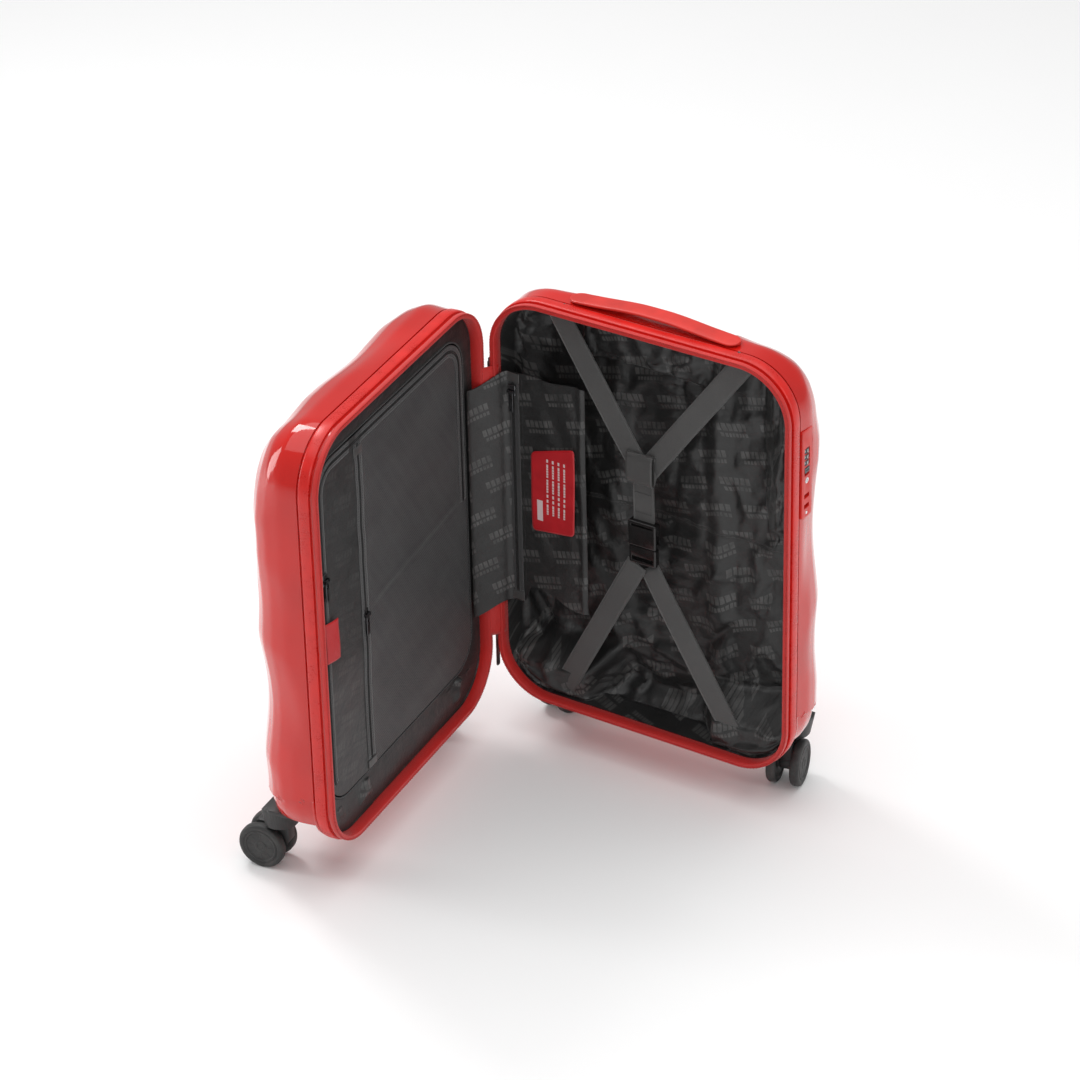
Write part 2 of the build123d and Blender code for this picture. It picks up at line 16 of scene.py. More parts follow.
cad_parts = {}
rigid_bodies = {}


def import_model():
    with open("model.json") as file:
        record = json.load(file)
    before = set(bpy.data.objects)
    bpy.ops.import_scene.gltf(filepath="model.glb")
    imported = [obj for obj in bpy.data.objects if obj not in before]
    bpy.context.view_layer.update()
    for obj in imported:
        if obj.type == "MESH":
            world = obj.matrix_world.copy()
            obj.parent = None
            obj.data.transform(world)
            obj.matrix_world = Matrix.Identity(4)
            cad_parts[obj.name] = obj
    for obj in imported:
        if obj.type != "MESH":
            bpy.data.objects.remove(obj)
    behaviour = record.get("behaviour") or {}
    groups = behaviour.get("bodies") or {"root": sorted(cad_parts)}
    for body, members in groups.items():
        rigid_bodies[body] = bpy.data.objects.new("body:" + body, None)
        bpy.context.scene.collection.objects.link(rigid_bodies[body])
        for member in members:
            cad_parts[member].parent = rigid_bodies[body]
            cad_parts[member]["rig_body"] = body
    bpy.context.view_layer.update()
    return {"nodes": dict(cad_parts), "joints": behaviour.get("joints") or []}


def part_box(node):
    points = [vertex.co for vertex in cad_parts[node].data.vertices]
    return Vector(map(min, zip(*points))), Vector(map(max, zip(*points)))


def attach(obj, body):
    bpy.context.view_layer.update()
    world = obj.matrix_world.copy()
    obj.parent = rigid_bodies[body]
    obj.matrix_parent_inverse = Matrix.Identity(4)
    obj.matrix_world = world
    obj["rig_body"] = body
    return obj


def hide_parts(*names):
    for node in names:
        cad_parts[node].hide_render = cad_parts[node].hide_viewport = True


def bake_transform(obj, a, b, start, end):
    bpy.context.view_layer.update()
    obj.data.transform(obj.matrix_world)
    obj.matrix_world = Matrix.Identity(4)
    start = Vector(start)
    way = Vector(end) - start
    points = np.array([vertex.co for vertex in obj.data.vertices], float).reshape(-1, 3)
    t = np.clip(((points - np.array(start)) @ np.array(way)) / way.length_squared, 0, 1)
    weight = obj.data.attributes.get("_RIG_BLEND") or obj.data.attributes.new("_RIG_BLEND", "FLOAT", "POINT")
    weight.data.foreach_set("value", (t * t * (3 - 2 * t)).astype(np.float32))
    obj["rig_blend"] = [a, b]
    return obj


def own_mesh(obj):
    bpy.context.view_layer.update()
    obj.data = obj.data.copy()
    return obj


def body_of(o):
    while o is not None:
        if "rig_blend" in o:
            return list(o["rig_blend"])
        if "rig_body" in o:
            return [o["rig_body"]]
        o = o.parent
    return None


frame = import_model()

# ---- the case, from the frame ----------------------------------------------------------------------
RIM_LOW, RIM_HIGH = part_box("back_rim")
JOINTS = {joint["name"]: joint for joint in frame["joints"]}
BAND_FRONT = 9.0                              # depth of the piping's front edge
CASE_ORIGIN = np.array([RIM_LOW.x * 1000, RIM_LOW.y * 1000 - BAND_FRONT, 0.0])
RIM_Z = RIM_LOW.z * 1000
RIM_WIDTH = (RIM_HIGH.x - RIM_LOW.x) * 1000
RIM_HEIGHT = (RIM_HIGH.z - RIM_LOW.z) * 1000
RIM_RADIUS = 62.0
MID_X = RIM_WIDTH / 2
MID_Z = RIM_Z + RIM_HEIGHT / 2
HINGE_X = JOINTS["lid_hinge"]["pos_m"][0] * 1000 - CASE_ORIGIN[0]
LID_REST = radians(84)
DIVIDER_Y = 16.0
SHELL_START = 23.0
SHELL_WALL = 2.4
ARCH = (95.0, 26.0, 83.0)                     # reach, front depth and ceiling of a wheel arch
RECESS = (97.0, 265.0, 46.0, 486.0)           # low x, high x, front depth and floor of the grip's recess
TUBE_X = (MID_X - 61.0, MID_X + 61.0)


def to_row(points, half="back"):
    """Case millimetres to row metres. On the front half, depth runs into the lid."""
    p = np.array(points, float).reshape(-1, 3)
    if half == "front":
        across, depth = p[:, 0] - HINGE_X, -p[:, 1]
        c, s = cos(LID_REST), sin(LID_REST)
        p = np.stack([HINGE_X + across * c + depth * s, depth * c - across * s, p[:, 2]], 1)
    return (p + CASE_ORIGIN) * 0.001


def case_box(node):
    """Low and high corner of a CAD node, in case millimetres."""
    return [np.array(corner) * 1000 - CASE_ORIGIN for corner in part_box(node)]


# ---- materials -------------------------------------------------------------------------------------
class Finish:
    """Node tree of one material, with short calls for the nodes that every finish uses."""

    def __init__(self, name):
        self.material = bpy.data.materials.new(name)
        self.material.use_nodes = True
        self.tree = self.material.node_tree
        self.tree.nodes.clear()
        self.output = self.tree.nodes.new("ShaderNodeOutputMaterial")
        self.shader = self.tree.nodes.new("ShaderNodeBsdfPrincipled")
        self.tree.links.new(self.shader.outputs[0], self.output.inputs[0])
        self.where = self.tree.nodes.new("ShaderNodeTexCoord")

    def put(self, socket, value):
        if isinstance(value, bpy.types.NodeSocket):
            self.tree.links.new(value, socket)
        elif hasattr(value, "__len__") and len(value) == 3 and len(socket.default_value) == 4:
            socket.default_value = (*value, 1.0)
        else:
            socket.default_value = value

    def node(self, kind, output=0, **inputs):
        """New node: i_2 is an input by number, Scale one by name, and lower case a setting."""
        made = self.tree.nodes.new("ShaderNode" + kind)
        for key, value in inputs.items():
            if key.startswith("i_"):
                self.put(made.inputs[int(key[2:])], value)
            elif key[0].isupper():
                self.put(made.inputs[key.replace("_", " ")], value)
            else:
                setattr(made, key, value)
        return made.outputs[output]

    def place(self, kind="Object", turn=0.0):
        return self.node("Mapping", Vector=self.where.outputs[kind], Rotation=(0.0, 0.0, turn))

    def axes(self, vector):
        """The first two coordinates of a vector."""
        split = self.tree.nodes.new("ShaderNodeSeparateXYZ")
        self.put(split.inputs[0], vector)
        return split.outputs[0], split.outputs[1]

    def noise(self, where, scale, detail=2.0, roughness=0.5):
        return self.node("TexNoise", Vector=where, Scale=scale, Detail=detail, Roughness=roughness)

    def math(self, operation, a, b=0.0, c=0.0):
        return self.node("Math", operation=operation, i_0=a, i_1=b, i_2=c)

    def wave(self, value, pitch):
        return self.math("SINE", self.math("MULTIPLY", value, 2 * pi / pitch))

    def band(self, value, low, high):
        """1 between the limits, 0 outside them."""
        return self.math("MULTIPLY", self.math("GREATER_THAN", value, low), self.math("LESS_THAN", value, high))

    def span(self, value, low, high, to_low=0.0, to_high=1.0):
        return self.node("MapRange", i_0=value, i_1=low, i_2=high, i_3=to_low, i_4=to_high)

    def mix(self, share, a, b):
        made = self.tree.nodes.new("ShaderNodeMix")
        made.data_type = "RGBA"
        self.put(made.inputs[0], share)
        self.put(made.inputs[6], a)
        self.put(made.inputs[7], b)
        return made.outputs[2]

    def bump(self, height, strength, distance, under=None):
        made = self.tree.nodes.new("ShaderNodeBump")
        self.put(made.inputs["Height"], height)
        made.inputs["Strength"].default_value = strength
        made.inputs["Distance"].default_value = distance
        if under is not None:
            self.put(made.inputs["Normal"], under)
        return made.outputs[0]

    def done(self, **sockets):
        for key, value in sockets.items():
            self.put(self.shader.inputs[key.replace("_", " ")], value)
        return self.material


def shade(colour, factor):
    return tuple(channel * factor for channel in colour)


def gloss_shell():
    """Lacquered polycarbonate: slight colour drift, orange peel and hairline scuffs."""
    f = Finish("shell_gloss")
    where = f.place()
    drift = f.noise(where, 9.0, 3.0)
    red = (0.57, 0.010, 0.006)
    colour = f.mix(f.span(drift, 0.3, 0.7), shade(red, 0.86), shade(red, 1.06))
    scuff = f.noise(f.place(turn=0.6), 240.0, 6.0, 0.7)
    rough = f.span(scuff, 0.35, 0.75, 0.05, 0.16)
    peel = f.bump(f.noise(where, 330.0, 1.0), 0.05, 0.0004)
    ripple = f.bump(f.noise(where, 26.0, 1.0), 0.10, 0.0012, peel)
    return f.done(Base_Color=colour, Roughness=rough, Normal=ripple, Coat_Weight=0.55, Coat_Roughness=0.03,
                  Specular_IOR_Level=0.3)


def satin_plastic(name, colour, roughness, grain=900.0, depth=0.00012, strength=0.25):
    """Moulded plastic with a fine spark-eroded grain and slight wear."""
    f = Finish(name)
    where = f.place()
    patch = f.noise(where, 40.0, 4.0, 0.6)
    tint = f.mix(f.span(patch, 0.3, 0.7), shade(colour, 0.86), shade(colour, 1.12))
    fine = f.noise(where, grain, 2.0, 0.6)
    rough = f.math("ADD", f.span(patch, 0.3, 0.7, roughness - 0.05, roughness + 0.05),
                   f.span(fine, 0.3, 0.7, -0.03, 0.03))
    return f.done(Base_Color=tint, Roughness=rough, Normal=f.bump(fine, strength, depth))


def rubber(name, colour):
    """Tyre tread compound: matt, with dust in its grain."""
    f = Finish(name)
    where = f.place()
    dust = f.noise(where, 70.0, 5.0, 0.65)
    tint = f.mix(f.span(dust, 0.45, 0.8), colour, (0.07, 0.068, 0.065))
    fine = f.noise(where, 1400.0, 2.0)
    return f.done(Base_Color=tint, Roughness=f.span(dust, 0.3, 0.8, 0.5, 0.72),
                  Normal=f.bump(fine, 0.3, 0.0001))


def metal(name, colour, roughness, brushed=(1.0, 1.0, 0.03)):
    """Plated or anodised metal, with brushing drawn out along one axis."""
    f = Finish(name)
    lines = f.node("Mapping", Vector=f.where.outputs["Object"], Scale=brushed)
    grain = f.noise(lines, 2600.0, 3.0, 0.6)
    patch = f.noise(f.place(), 60.0, 3.0)
    tint = f.mix(f.span(patch, 0.3, 0.7), shade(colour, 0.85), shade(colour, 1.1))
    rough = f.span(grain, 0.3, 0.7, roughness - 0.07, roughness + 0.09)
    return f.done(Base_Color=tint, Metallic=1.0, Roughness=rough, Normal=f.bump(grain, 0.12, 0.00005))


def woven(name, colour, thread, roughness=0.6, sheen=0.25, depth=0.00025):
    """Plain weave on a UV map in metres, with slubs, a worn tint and painted shade that darkens the hollows between
    threads. thread is the pitch in metres.
    """
    f = Finish(name)
    uv = f.place("UV")
    across, along = f.axes(uv)
    weave = f.math("MULTIPLY", f.wave(across, thread), f.wave(along, thread))
    slub = f.noise(uv, 420.0, 3.0, 0.6)
    patch = f.noise(uv, 14.0, 4.0, 0.55)
    height = f.math("ADD", f.math("MULTIPLY", weave, 0.5), slub)
    # painted shade: thread crests lighter and the hollows between threads darker, plus a random worn tint
    light = f.math("ADD", f.span(weave, -1.0, 1.0, -0.12, 0.12), f.span(patch, 0.3, 0.7, 0.35, 0.65))
    tint = f.mix(light, shade(colour, 0.62), shade(colour, 1.35))
    return f.done(Base_Color=tint, Roughness=roughness, Normal=f.bump(height, 0.5, depth),
                  Sheen_Weight=sheen, Sheen_Roughness=0.45)


def twill():
    """Divider cloth: fine diagonal ribs with a slight sheen."""
    f = Finish("divider_twill_cloth")
    rib_pitch, thread_pitch = 0.0021, 0.0012
    uv = f.place("UV", radians(33))
    across, along = f.axes(uv)
    rib, thread = f.wave(across, rib_pitch), f.wave(along, thread_pitch)
    patch = f.noise(uv, 9.0, 4.0, 0.6)
    streak = f.noise(f.node("Mapping", Vector=uv, Scale=(18.0, 1.2, 1.0)), 8.0, 4.0, 0.6)
    height = f.math("ADD", rib, f.math("MULTIPLY", thread, 0.35))
    # painted shade: rib crests lighter and the hollows between ribs darker, plus random patches and streaks
    light = f.math("ADD", f.span(rib, -1.0, 1.0, -0.16, 0.16),
                   f.math("ADD", f.span(patch, 0.3, 0.7, 0.2, 0.5), f.span(streak, 0.3, 0.7, -0.12, 0.2)))
    tint = f.mix(light, (0.014, 0.014, 0.015), (0.060, 0.059, 0.060))
    return f.done(Base_Color=tint, Roughness=0.52, Normal=f.bump(height, 0.45, 0.00022),
                  Sheen_Weight=0.2, Sheen_Roughness=0.4)


def printed_lining(name, strength, low=0.008, high=0.020):
    """Calendered polyester with a staggered print of short bars, small creases and a dull shine."""
    f = Finish(name)
    uv = f.place("UV", radians(-14))
    across, upward = f.axes(uv)
    row_pitch, bar_pitch = 0.031, 0.052
    row = f.math("DIVIDE", upward, row_pitch)
    shift = f.math("MULTIPLY", f.math("FLOOR", row), 0.37)
    along = f.math("FRACT", f.math("ADD", f.math("DIVIDE", across, bar_pitch), shift))
    up = f.math("FRACT", row)
    blocks = f.math("GREATER_THAN", f.math("FRACT", f.math("MULTIPLY", along, 9.0)), 0.24)
    dashes = f.math("GREATER_THAN", f.math("FRACT", f.math("MULTIPLY", along, 13.0)), 0.28)
    wide = f.math("MULTIPLY", f.math("MULTIPLY", f.band(along, 0.12, 0.78), blocks), f.band(up, 0.46, 0.72))
    thin = f.math("MULTIPLY", f.math("MULTIPLY", f.band(along, 0.16, 0.78), dashes), f.band(up, 0.24, 0.38))
    worn = f.span(f.noise(uv, 60.0, 5.0, 0.7), 0.35, 0.6, 0.25, 1.0)
    ink = f.math("MULTIPLY", f.math("ADD", wide, thin), worn)
    patch = f.noise(uv, 12.0, 5.0, 0.6)
    ground = f.mix(f.span(patch, 0.3, 0.7), (low, low, low), (high, high, high))
    tint = f.mix(f.math("MULTIPLY", ink, strength), ground, (0.115, 0.113, 0.110))
    crease = f.noise(uv, 75.0, 6.0, 0.62)
    fine = f.noise(uv, 1500.0, 2.0)
    rumple = f.bump(crease, 0.35, 0.0030)
    normal = f.bump(fine, 0.2, 0.0001, rumple)
    rough = f.math("SUBTRACT", f.span(crease, 0.3, 0.7, 0.36, 0.47), f.math("MULTIPLY", ink, 0.06))
    return f.done(Base_Color=tint, Roughness=rough, Normal=normal, Specular_IOR_Level=0.6,
                  Sheen_Weight=0.08, Sheen_Roughness=0.4)


def printed_label():
    """Red satin label: a fine weave, a small pale plate and plain pale bars where its lines would be."""
    f = Finish("label_satin")
    weave_pitch = 0.0007
    uv = f.place("UV")
    across, up = f.axes(uv)
    words = f.math("GREATER_THAN", f.noise(f.node("Mapping", Vector=uv, Scale=(0.0, 1.0, 1.0)), 330.0, 0.0), 0.44)
    bars = None
    for low in (0.062, 0.069, 0.076, 0.083):
        bar = f.band(across, low, low + 0.0022)
        bars = bar if bars is None else f.math("ADD", bars, bar)
    bars = f.math("MULTIPLY", f.math("MULTIPLY", bars, words), f.band(up, 0.285, 0.352))
    plate = f.math("MULTIPLY", f.band(across, 0.050, 0.057), f.band(up, 0.275, 0.300))
    ink = f.math("MINIMUM", f.math("ADD", bars, plate), 1.0)
    weave = f.math("MULTIPLY", f.wave(across, weave_pitch), f.wave(up, weave_pitch))
    patch = f.noise(uv, 30.0, 3.0)
    ground = f.mix(f.span(patch, 0.3, 0.7), (0.46, 0.008, 0.014), (0.60, 0.014, 0.022))
    return f.done(Base_Color=f.mix(f.math("MULTIPLY", ink, 0.8), ground, (0.80, 0.74, 0.74)), Roughness=0.40,
                  Normal=f.bump(weave, 0.2, 0.0001), Sheen_Weight=0.1, Sheen_Roughness=0.4)


def pale_floor():
    f = Finish("floor")
    patch = f.noise(f.place(), 3.0, 2.0)
    return f.done(Base_Color=f.mix(patch, (0.93, 0.93, 0.93), (0.95, 0.95, 0.95)), Roughness=0.65)


MATERIAL = {
    "shell": gloss_shell(),
    "rim": satin_plastic("rim_satin", (0.60, 0.010, 0.006), 0.30, 700.0),
    "tape": woven("zip_tape_weave", (0.55, 0.009, 0.006), 0.0011, 0.5, 0.2),
    "teeth_red": satin_plastic("zip_teeth_red", (0.42, 0.010, 0.008), 0.3),
    "handle": satin_plastic("handle_soft_touch", (0.62, 0.026, 0.017), 0.42, 1300.0),
    "lock": satin_plastic("lock_satin", (0.60, 0.016, 0.010), 0.34),
    "lining": printed_lining("lining_print_cloth", 0.62),
    "side_panel": printed_lining("side_panel_cloth", 0.22, 0.016, 0.034),
    "border": printed_lining("border_cloth", 0.03, 0.009, 0.017),
    "twill": twill(),
    "binding": woven("binding_weave", (0.040, 0.040, 0.041), 0.0010, 0.6, 0.3),
    "webbing": woven("strap_weave", (0.066, 0.065, 0.064), 0.0016, 0.5, 0.35, 0.0005),
    "satin": woven("keeper_satin", (0.062, 0.061, 0.060), 0.0006, 0.3, 0.1, 0.0001),
    "label": printed_label(),
    "tag": woven("tag_satin", (0.52, 0.010, 0.014), 0.0007, 0.42, 0.1, 0.0001),
    "thread": satin_plastic("thread_grey", (0.030, 0.030, 0.030), 0.6),
    "thread_red": satin_plastic("thread_red", (0.34, 0.012, 0.010), 0.55),
    "coil": satin_plastic("zip_coil_black", (0.016, 0.016, 0.016), 0.34),
    "buckle": satin_plastic("buckle_gloss", (0.012, 0.011, 0.011), 0.16, 500.0, 0.00005),
    "black": satin_plastic("black_moulding", (0.018, 0.018, 0.018), 0.48),
    "wheel": rubber("wheel_tread", (0.022, 0.022, 0.022)),
    "wheel_face": satin_plastic("wheel_face", (0.026, 0.026, 0.027), 0.42),
    "gunmetal": metal("gunmetal", (0.13, 0.13, 0.135), 0.30),
    "aluminium": metal("anodised_tube", (0.55, 0.55, 0.57), 0.32),
    "steel": metal("steel_axle", (0.62, 0.62, 0.62), 0.24, (0.05, 1.0, 1.0)),
    "chrome": metal("chrome", (0.75, 0.75, 0.76), 0.10),
    "dial": metal("dial_dark", (0.10, 0.10, 0.105), 0.26),
    "digit": satin_plastic("digit_white", (0.80, 0.80, 0.78), 0.45),
}


# ---- mesh helpers ----------------------------------------------------------------------------------
def placed(name, data):
    """New object, linked to the scene."""
    made = bpy.data.objects.new(name, data)
    bpy.context.scene.collection.objects.link(made)
    return made


def paint(made, key):
    made.data.materials.clear()
    made.data.materials.append(MATERIAL[key])


@contextmanager
def edited(mesh):
    """The mesh as a BMesh, written back at the end of the with block."""
    work = bmesh.new()
    work.from_mesh(mesh)
    yield work
    work.to_mesh(mesh)
    work.free()


def grid_faces(rows, columns, loop_rows=False, loop_columns=False):
    """Quads of a grid whose vertices are numbered row by row."""
    faces = []
    for i in range(rows if loop_rows else rows - 1):
        for j in range(columns if loop_columns else columns - 1):
            k, m = (i + 1) % rows, (j + 1) % columns
            faces.append((i * columns + j, k * columns + j, k * columns + m, i * columns + m))
    return faces


def piece(name, points, faces, material, half="back", uv=None, closed=True, sharp=40.0):
    """Mesh object from case millimetres. uv holds one pair per vertex, in metres."""
    mesh = bpy.data.meshes.new(name)
    mesh.from_pydata([tuple(p) for p in to_row(points, half)], [], [tuple(f) for f in faces])
    if uv is not None:
        uv = np.array(uv, float).reshape(-1, 2)
        index = np.zeros(len(mesh.loops), int)
        mesh.loops.foreach_get("vertex_index", index)
        mesh.uv_layers.new(name="UVMap").data.foreach_set("uv", uv[index].ravel())
    with edited(mesh) as work:
        if closed:
            bmesh.ops.recalc_face_normals(work, faces=work.faces)
        elif half == "front":
            bmesh.ops.reverse_faces(work, faces=work.faces)
    made = placed(name, mesh)
    paint(made, material)
    smooth(made, sharp)
    return made


def smooth(made, angle):
    """Smooth shading, with edges sharper than the angle kept crisp."""
    mesh = made.data
    mesh.polygons.foreach_set("use_smooth", [True] * len(mesh.polygons))
    with edited(mesh) as work:
        for edge in work.edges:
            edge.smooth = not (len(edge.link_faces) == 2 and edge.calc_face_angle(0.0) > radians(angle))


def apply_all(made):
    """Bake a piece's modifiers into its mesh."""
    bpy.context.view_layer.update()
    graph = bpy.context.evaluated_depsgraph_get()
    baked = bpy.data.meshes.new_from_object(made.evaluated_get(graph))
    made.modifiers.clear()
    made.data = baked
    return made


def thicken(made, thickness, offset=0.0):
    modifier = made.modifiers.new("thickness", "SOLIDIFY")
    modifier.thickness = thickness * 0.001
    modifier.offset = offset
    return apply_all(made)


def join(name, parts):
    """Join pieces into the first one, under one name."""
    bpy.context.view_layer.update()
    with bpy.context.temp_override(active_object=parts[0], selected_editable_objects=parts):
        bpy.ops.object.join()
    parts[0].name = name
    return parts[0]


def cut(made, cutters):
    """Exact boolean difference with each cutter, which is used up."""
    for cutter in cutters:
        modifier = made.modifiers.new("cut", "BOOLEAN")
        modifier.operation = "DIFFERENCE"
        modifier.solver = "EXACT"
        modifier.object = cutter
    apply_all(made)
    for cutter in cutters:
        bpy.data.objects.remove(cutter)
    return made


def rounded_box(name, x, y, z, radius=0.0, axis=None, material="black", half="back", segments=5):
    """Box between limits, with all its edges rounded, or only those along one axis (0, 1 or 2)."""
    corners = [(a, b, c) for a in x for b in y for c in z]
    faces = [(0, 1, 3, 2), (4, 6, 7, 5), (0, 4, 5, 1), (2, 3, 7, 6), (0, 2, 6, 4), (1, 5, 7, 3)]
    work = bmesh.new()
    verts = [work.verts.new(c) for c in corners]
    for face in faces:
        work.faces.new([verts[i] for i in face])
    if radius:
        edges = [e for e in work.edges
                 if axis is None or abs((e.verts[0].co - e.verts[1].co).normalized()[axis]) > 0.99]
        bmesh.ops.bevel(work, geom=edges, offset=radius, segments=segments, profile=0.5, affect="EDGES")
    work.verts.index_update()
    points = [tuple(v.co) for v in work.verts]
    quads = [[v.index for v in f.verts] for f in work.faces]
    work.free()
    return piece(name, points, quads, material, half)


def softened(name, node, width, material, slot, segments=2, merge=True):
    """The CAD node's own shape with its edges rounded, standing for the node."""
    mesh = frame["nodes"][node].data.copy()
    with edited(mesh) as work:
        bmesh.ops.remove_doubles(work, verts=work.verts, dist=2e-6)
        if merge:
            bmesh.ops.dissolve_limit(work, angle_limit=radians(1.0), verts=work.verts, edges=work.edges)
    made = placed(name, mesh)
    bevel = made.modifiers.new("soften", "BEVEL")
    bevel.width = width * 0.001
    bevel.segments = segments
    bevel.limit_method = "ANGLE"
    bevel.angle_limit = radians(30.0)
    bevel.use_clamp_overlap = True
    apply_all(made)
    paint(made, material)
    smooth(made, 38.0)
    return settle(made, body_of(frame["nodes"][node])[0], slot, node)


def settle(made, body, slot, *nodes):
    """Ride on a body and stand for CAD nodes. slot is not used."""
    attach(made, body)
    if nodes:
        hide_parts(*nodes)
    return made


def outline(width, height, drop, radius, corner=16, sides=(30, 44)):
    """Rounded rectangle as x, z points, from the middle of the low-x, high-z corner's end."""
    points = []
    for k, (sx, sz) in enumerate(((1, 1), (-1, 1), (-1, -1), (1, -1))):
        cx = MID_X + sx * (width / 2 - radius)
        cz = MID_Z - drop + sz * (height / 2 - radius)
        for i in range(corner + 1):
            turn = (k + i / corner) * pi / 2
            points.append((cx + radius * cos(turn), cz + radius * sin(turn)))
        nx = ((-1, 1), (-1, -1), (1, -1), (1, 1))[k]
        ex = MID_X + nx[0] * (width / 2 - radius)
        ez = MID_Z - drop + nx[1] * (height / 2 - radius)
        turn = (k + 1) * pi / 2
        last = np.array(points[-1])
        following = np.array((ex + radius * cos(turn), ez + radius * sin(turn)))
        count = sides[k % 2]
        points += [tuple(last + (following - last) * (i / count)) for i in range(1, count)]
    return np.array(points)


def at_depth(loop, depth, closed=False):
    """Outline points at one depth, back to the first point if closed."""
    points = np.column_stack([loop[:, 0], np.full(len(loop), depth), loop[:, 1]])
    return np.concatenate([points, points[:1]]) if closed else points


def swept_ring(name, profile, material, half, corner=16, sharp=40.0):
    """Closed band round the rim: profile is a loop of (inset, depth) points."""
    rings = []
    for inset, depth in profile:
        loop = outline(RIM_WIDTH - 2 * inset, RIM_HEIGHT - 2 * inset, 0.0, RIM_RADIUS - inset, corner)
        rings.append(at_depth(loop, depth))
    points = np.concatenate(rings)
    count = len(rings[0])
    steps = np.linalg.norm(np.diff(rings[0], axis=0, append=rings[0][:1]), axis=1)
    along = np.concatenate([[0.0], np.cumsum(steps)[:-1]]) * 0.001
    across = np.cumsum([0.0] + [np.hypot(b[0] - a[0], b[1] - a[1]) for a, b in zip(profile, profile[1:])])
    uv = [(u, v * 0.001) for v in across for u in along]
    return piece(name, points, grid_faces(len(profile), count, True, True), material, half, uv, sharp=sharp)


def inside(x, z, inset, radius):
    """How far a point lies inside the rim outline drawn in by an inset; negative outside."""
    qx = abs(x - MID_X) - (RIM_WIDTH / 2 - inset - radius)
    qz = abs(z - MID_Z) - (RIM_HEIGHT / 2 - inset - radius)
    outside = np.hypot(np.maximum(qx, 0.0), np.maximum(qz, 0.0))
    return radius - outside - np.minimum(np.maximum(qx, qz), 0.0)


def smoothstep(value, low, high):
    t = np.clip((value - low) / (high - low), 0.0, 1.0)
    return t * t * (3 - 2 * t)


def fractal(points, scale, octaves=3, seed=0.0):
    """Smooth noise at case points, about -1 to 1."""
    total = np.zeros(len(points))
    for k in range(octaves):
        place = np.array(points) / (scale / 2 ** k) + seed + 17.3 * k
        total += np.array([noise.noise(Vector(p)) for p in place]) / 1.8 ** k
    return total


def snapped_grid(xs, zs, low, high, radius):
    """Grid in the X-Z plane whose corners are pulled in onto round ones."""
    gx, gz = np.meshgrid(xs, zs, indexing="ij")
    cx = np.clip(gx, low[0] + radius, high[0] - radius)
    cz = np.clip(gz, low[1] + radius, high[1] - radius)
    dx, dz = gx - cx, gz - cz
    reach = np.hypot(dx, dz)
    square = np.maximum(np.abs(dx), np.abs(dz))
    pull = np.where((np.abs(dx) > 0) & (np.abs(dz) > 0), square / np.maximum(reach, 1e-9), 1.0)
    return cx + dx * pull, cz + dz * pull


def crowded(low, high, count, power):
    """Values from low to high, closer together at both ends."""
    t = np.linspace(-1.0, 1.0, count)
    warped = np.sign(t) * (1 - (1 - np.abs(t)) ** (1 + power))
    return (low + high) / 2 + (high - low) / 2 * warped


def beads(name, path, pitch, size, material, half="back", across=(0.0, 1.0, 0.0), shift=0.0, stagger=0.0):
    """Small rounded bars along a path, such as zip teeth or stitches. size is (along, side, out)."""
    path = np.array(path, float)
    steps = np.linalg.norm(np.diff(path, axis=0), axis=1)
    reach = np.concatenate([[0.0], np.cumsum(steps)])
    count = max(int(reach[-1] / pitch), 1)
    points, faces = [], []
    out = np.array(across, float)
    for k in range(count):
        s = (k + 0.5) * pitch
        i = min(int(np.searchsorted(reach, s)) - 1, len(path) - 2)
        forward = (path[i + 1] - path[i]) / max(steps[i], 1e-9)
        side = np.cross(forward, out)
        side /= np.linalg.norm(side)
        up = np.cross(side, forward)
        centre = path[i] + forward * (s - reach[i]) + side * (shift + (stagger if k % 2 else -stagger))
        base = len(points)
        for a, taper in ((-0.5, 0.55), (-0.28, 1.0), (0.28, 1.0), (0.5, 0.55)):
            for b, c in ((-0.5, -0.5), (0.5, -0.5), (0.5, 0.2), (0.2, 0.5), (-0.2, 0.5), (-0.5, 0.2)):
                points.append(centre + forward * a * size[0] + side * b * taper * size[1]
                              + up * c * taper * size[2])
        for r in range(3):
            for j in range(6):
                m = (j + 1) % 6
                faces.append((base + r * 6 + j, base + r * 6 + m, base + r * 6 + 6 + m, base + r * 6 + 6 + j))
        faces.append(tuple(base + j for j in range(5, -1, -1)))
        faces.append(tuple(base + 18 + j for j in range(6)))
    return piece(name, points, faces, material, half)


def ribbon(name, centres, sides, width, thickness, material, half="back", columns=9):
    """Flat strap along a path. sides holds the unit vector across it at each point."""
    centres, sides = np.array(centres, float), np.array(sides, float)
    reach = np.concatenate([[0.0], np.cumsum(np.linalg.norm(np.diff(centres, axis=0), axis=1))])
    points, uv = [], []
    for i in range(len(centres)):
        for j in range(columns):
            t = j / (columns - 1) * 2 - 1
            points.append(centres[i] + sides[i] * t * width / 2)
            uv.append((reach[i] * 0.001, t * width * 0.0005))
    made = piece(name, points, grid_faces(len(centres), columns), material, half, uv, closed=False)
    return thicken(made, thickness)


# ---- shells ----------------------------------------------------------------------------------------
# depth, growth in width, growth in height, drop of the centre, corner radius
SHELL_LINE = (
    (SHELL_START, -2.0, -2.0, 0.0, 61.0),
    (45.0, 1.6, -2.0, 0.0, 61.0),
    (62.0, -2.5, -8.0, 3.0, 60.0),
    (76.0, -14.0, -20.0, 7.0, 57.0),
    (88.0, -40.0, -42.0, 12.0, 51.0),
    (97.0, -76.0, -70.0, 19.0, 44.0),
    (102.5, -112.0, -96.0, 25.0, 36.0),
    (104.0, -150.0, -130.0, 26.0, 30.0),
    (104.0, -235.0, -300.0, 26.0, 20.0),
    (104.0, -336.0, -462.0, 26.0, 8.0),
)
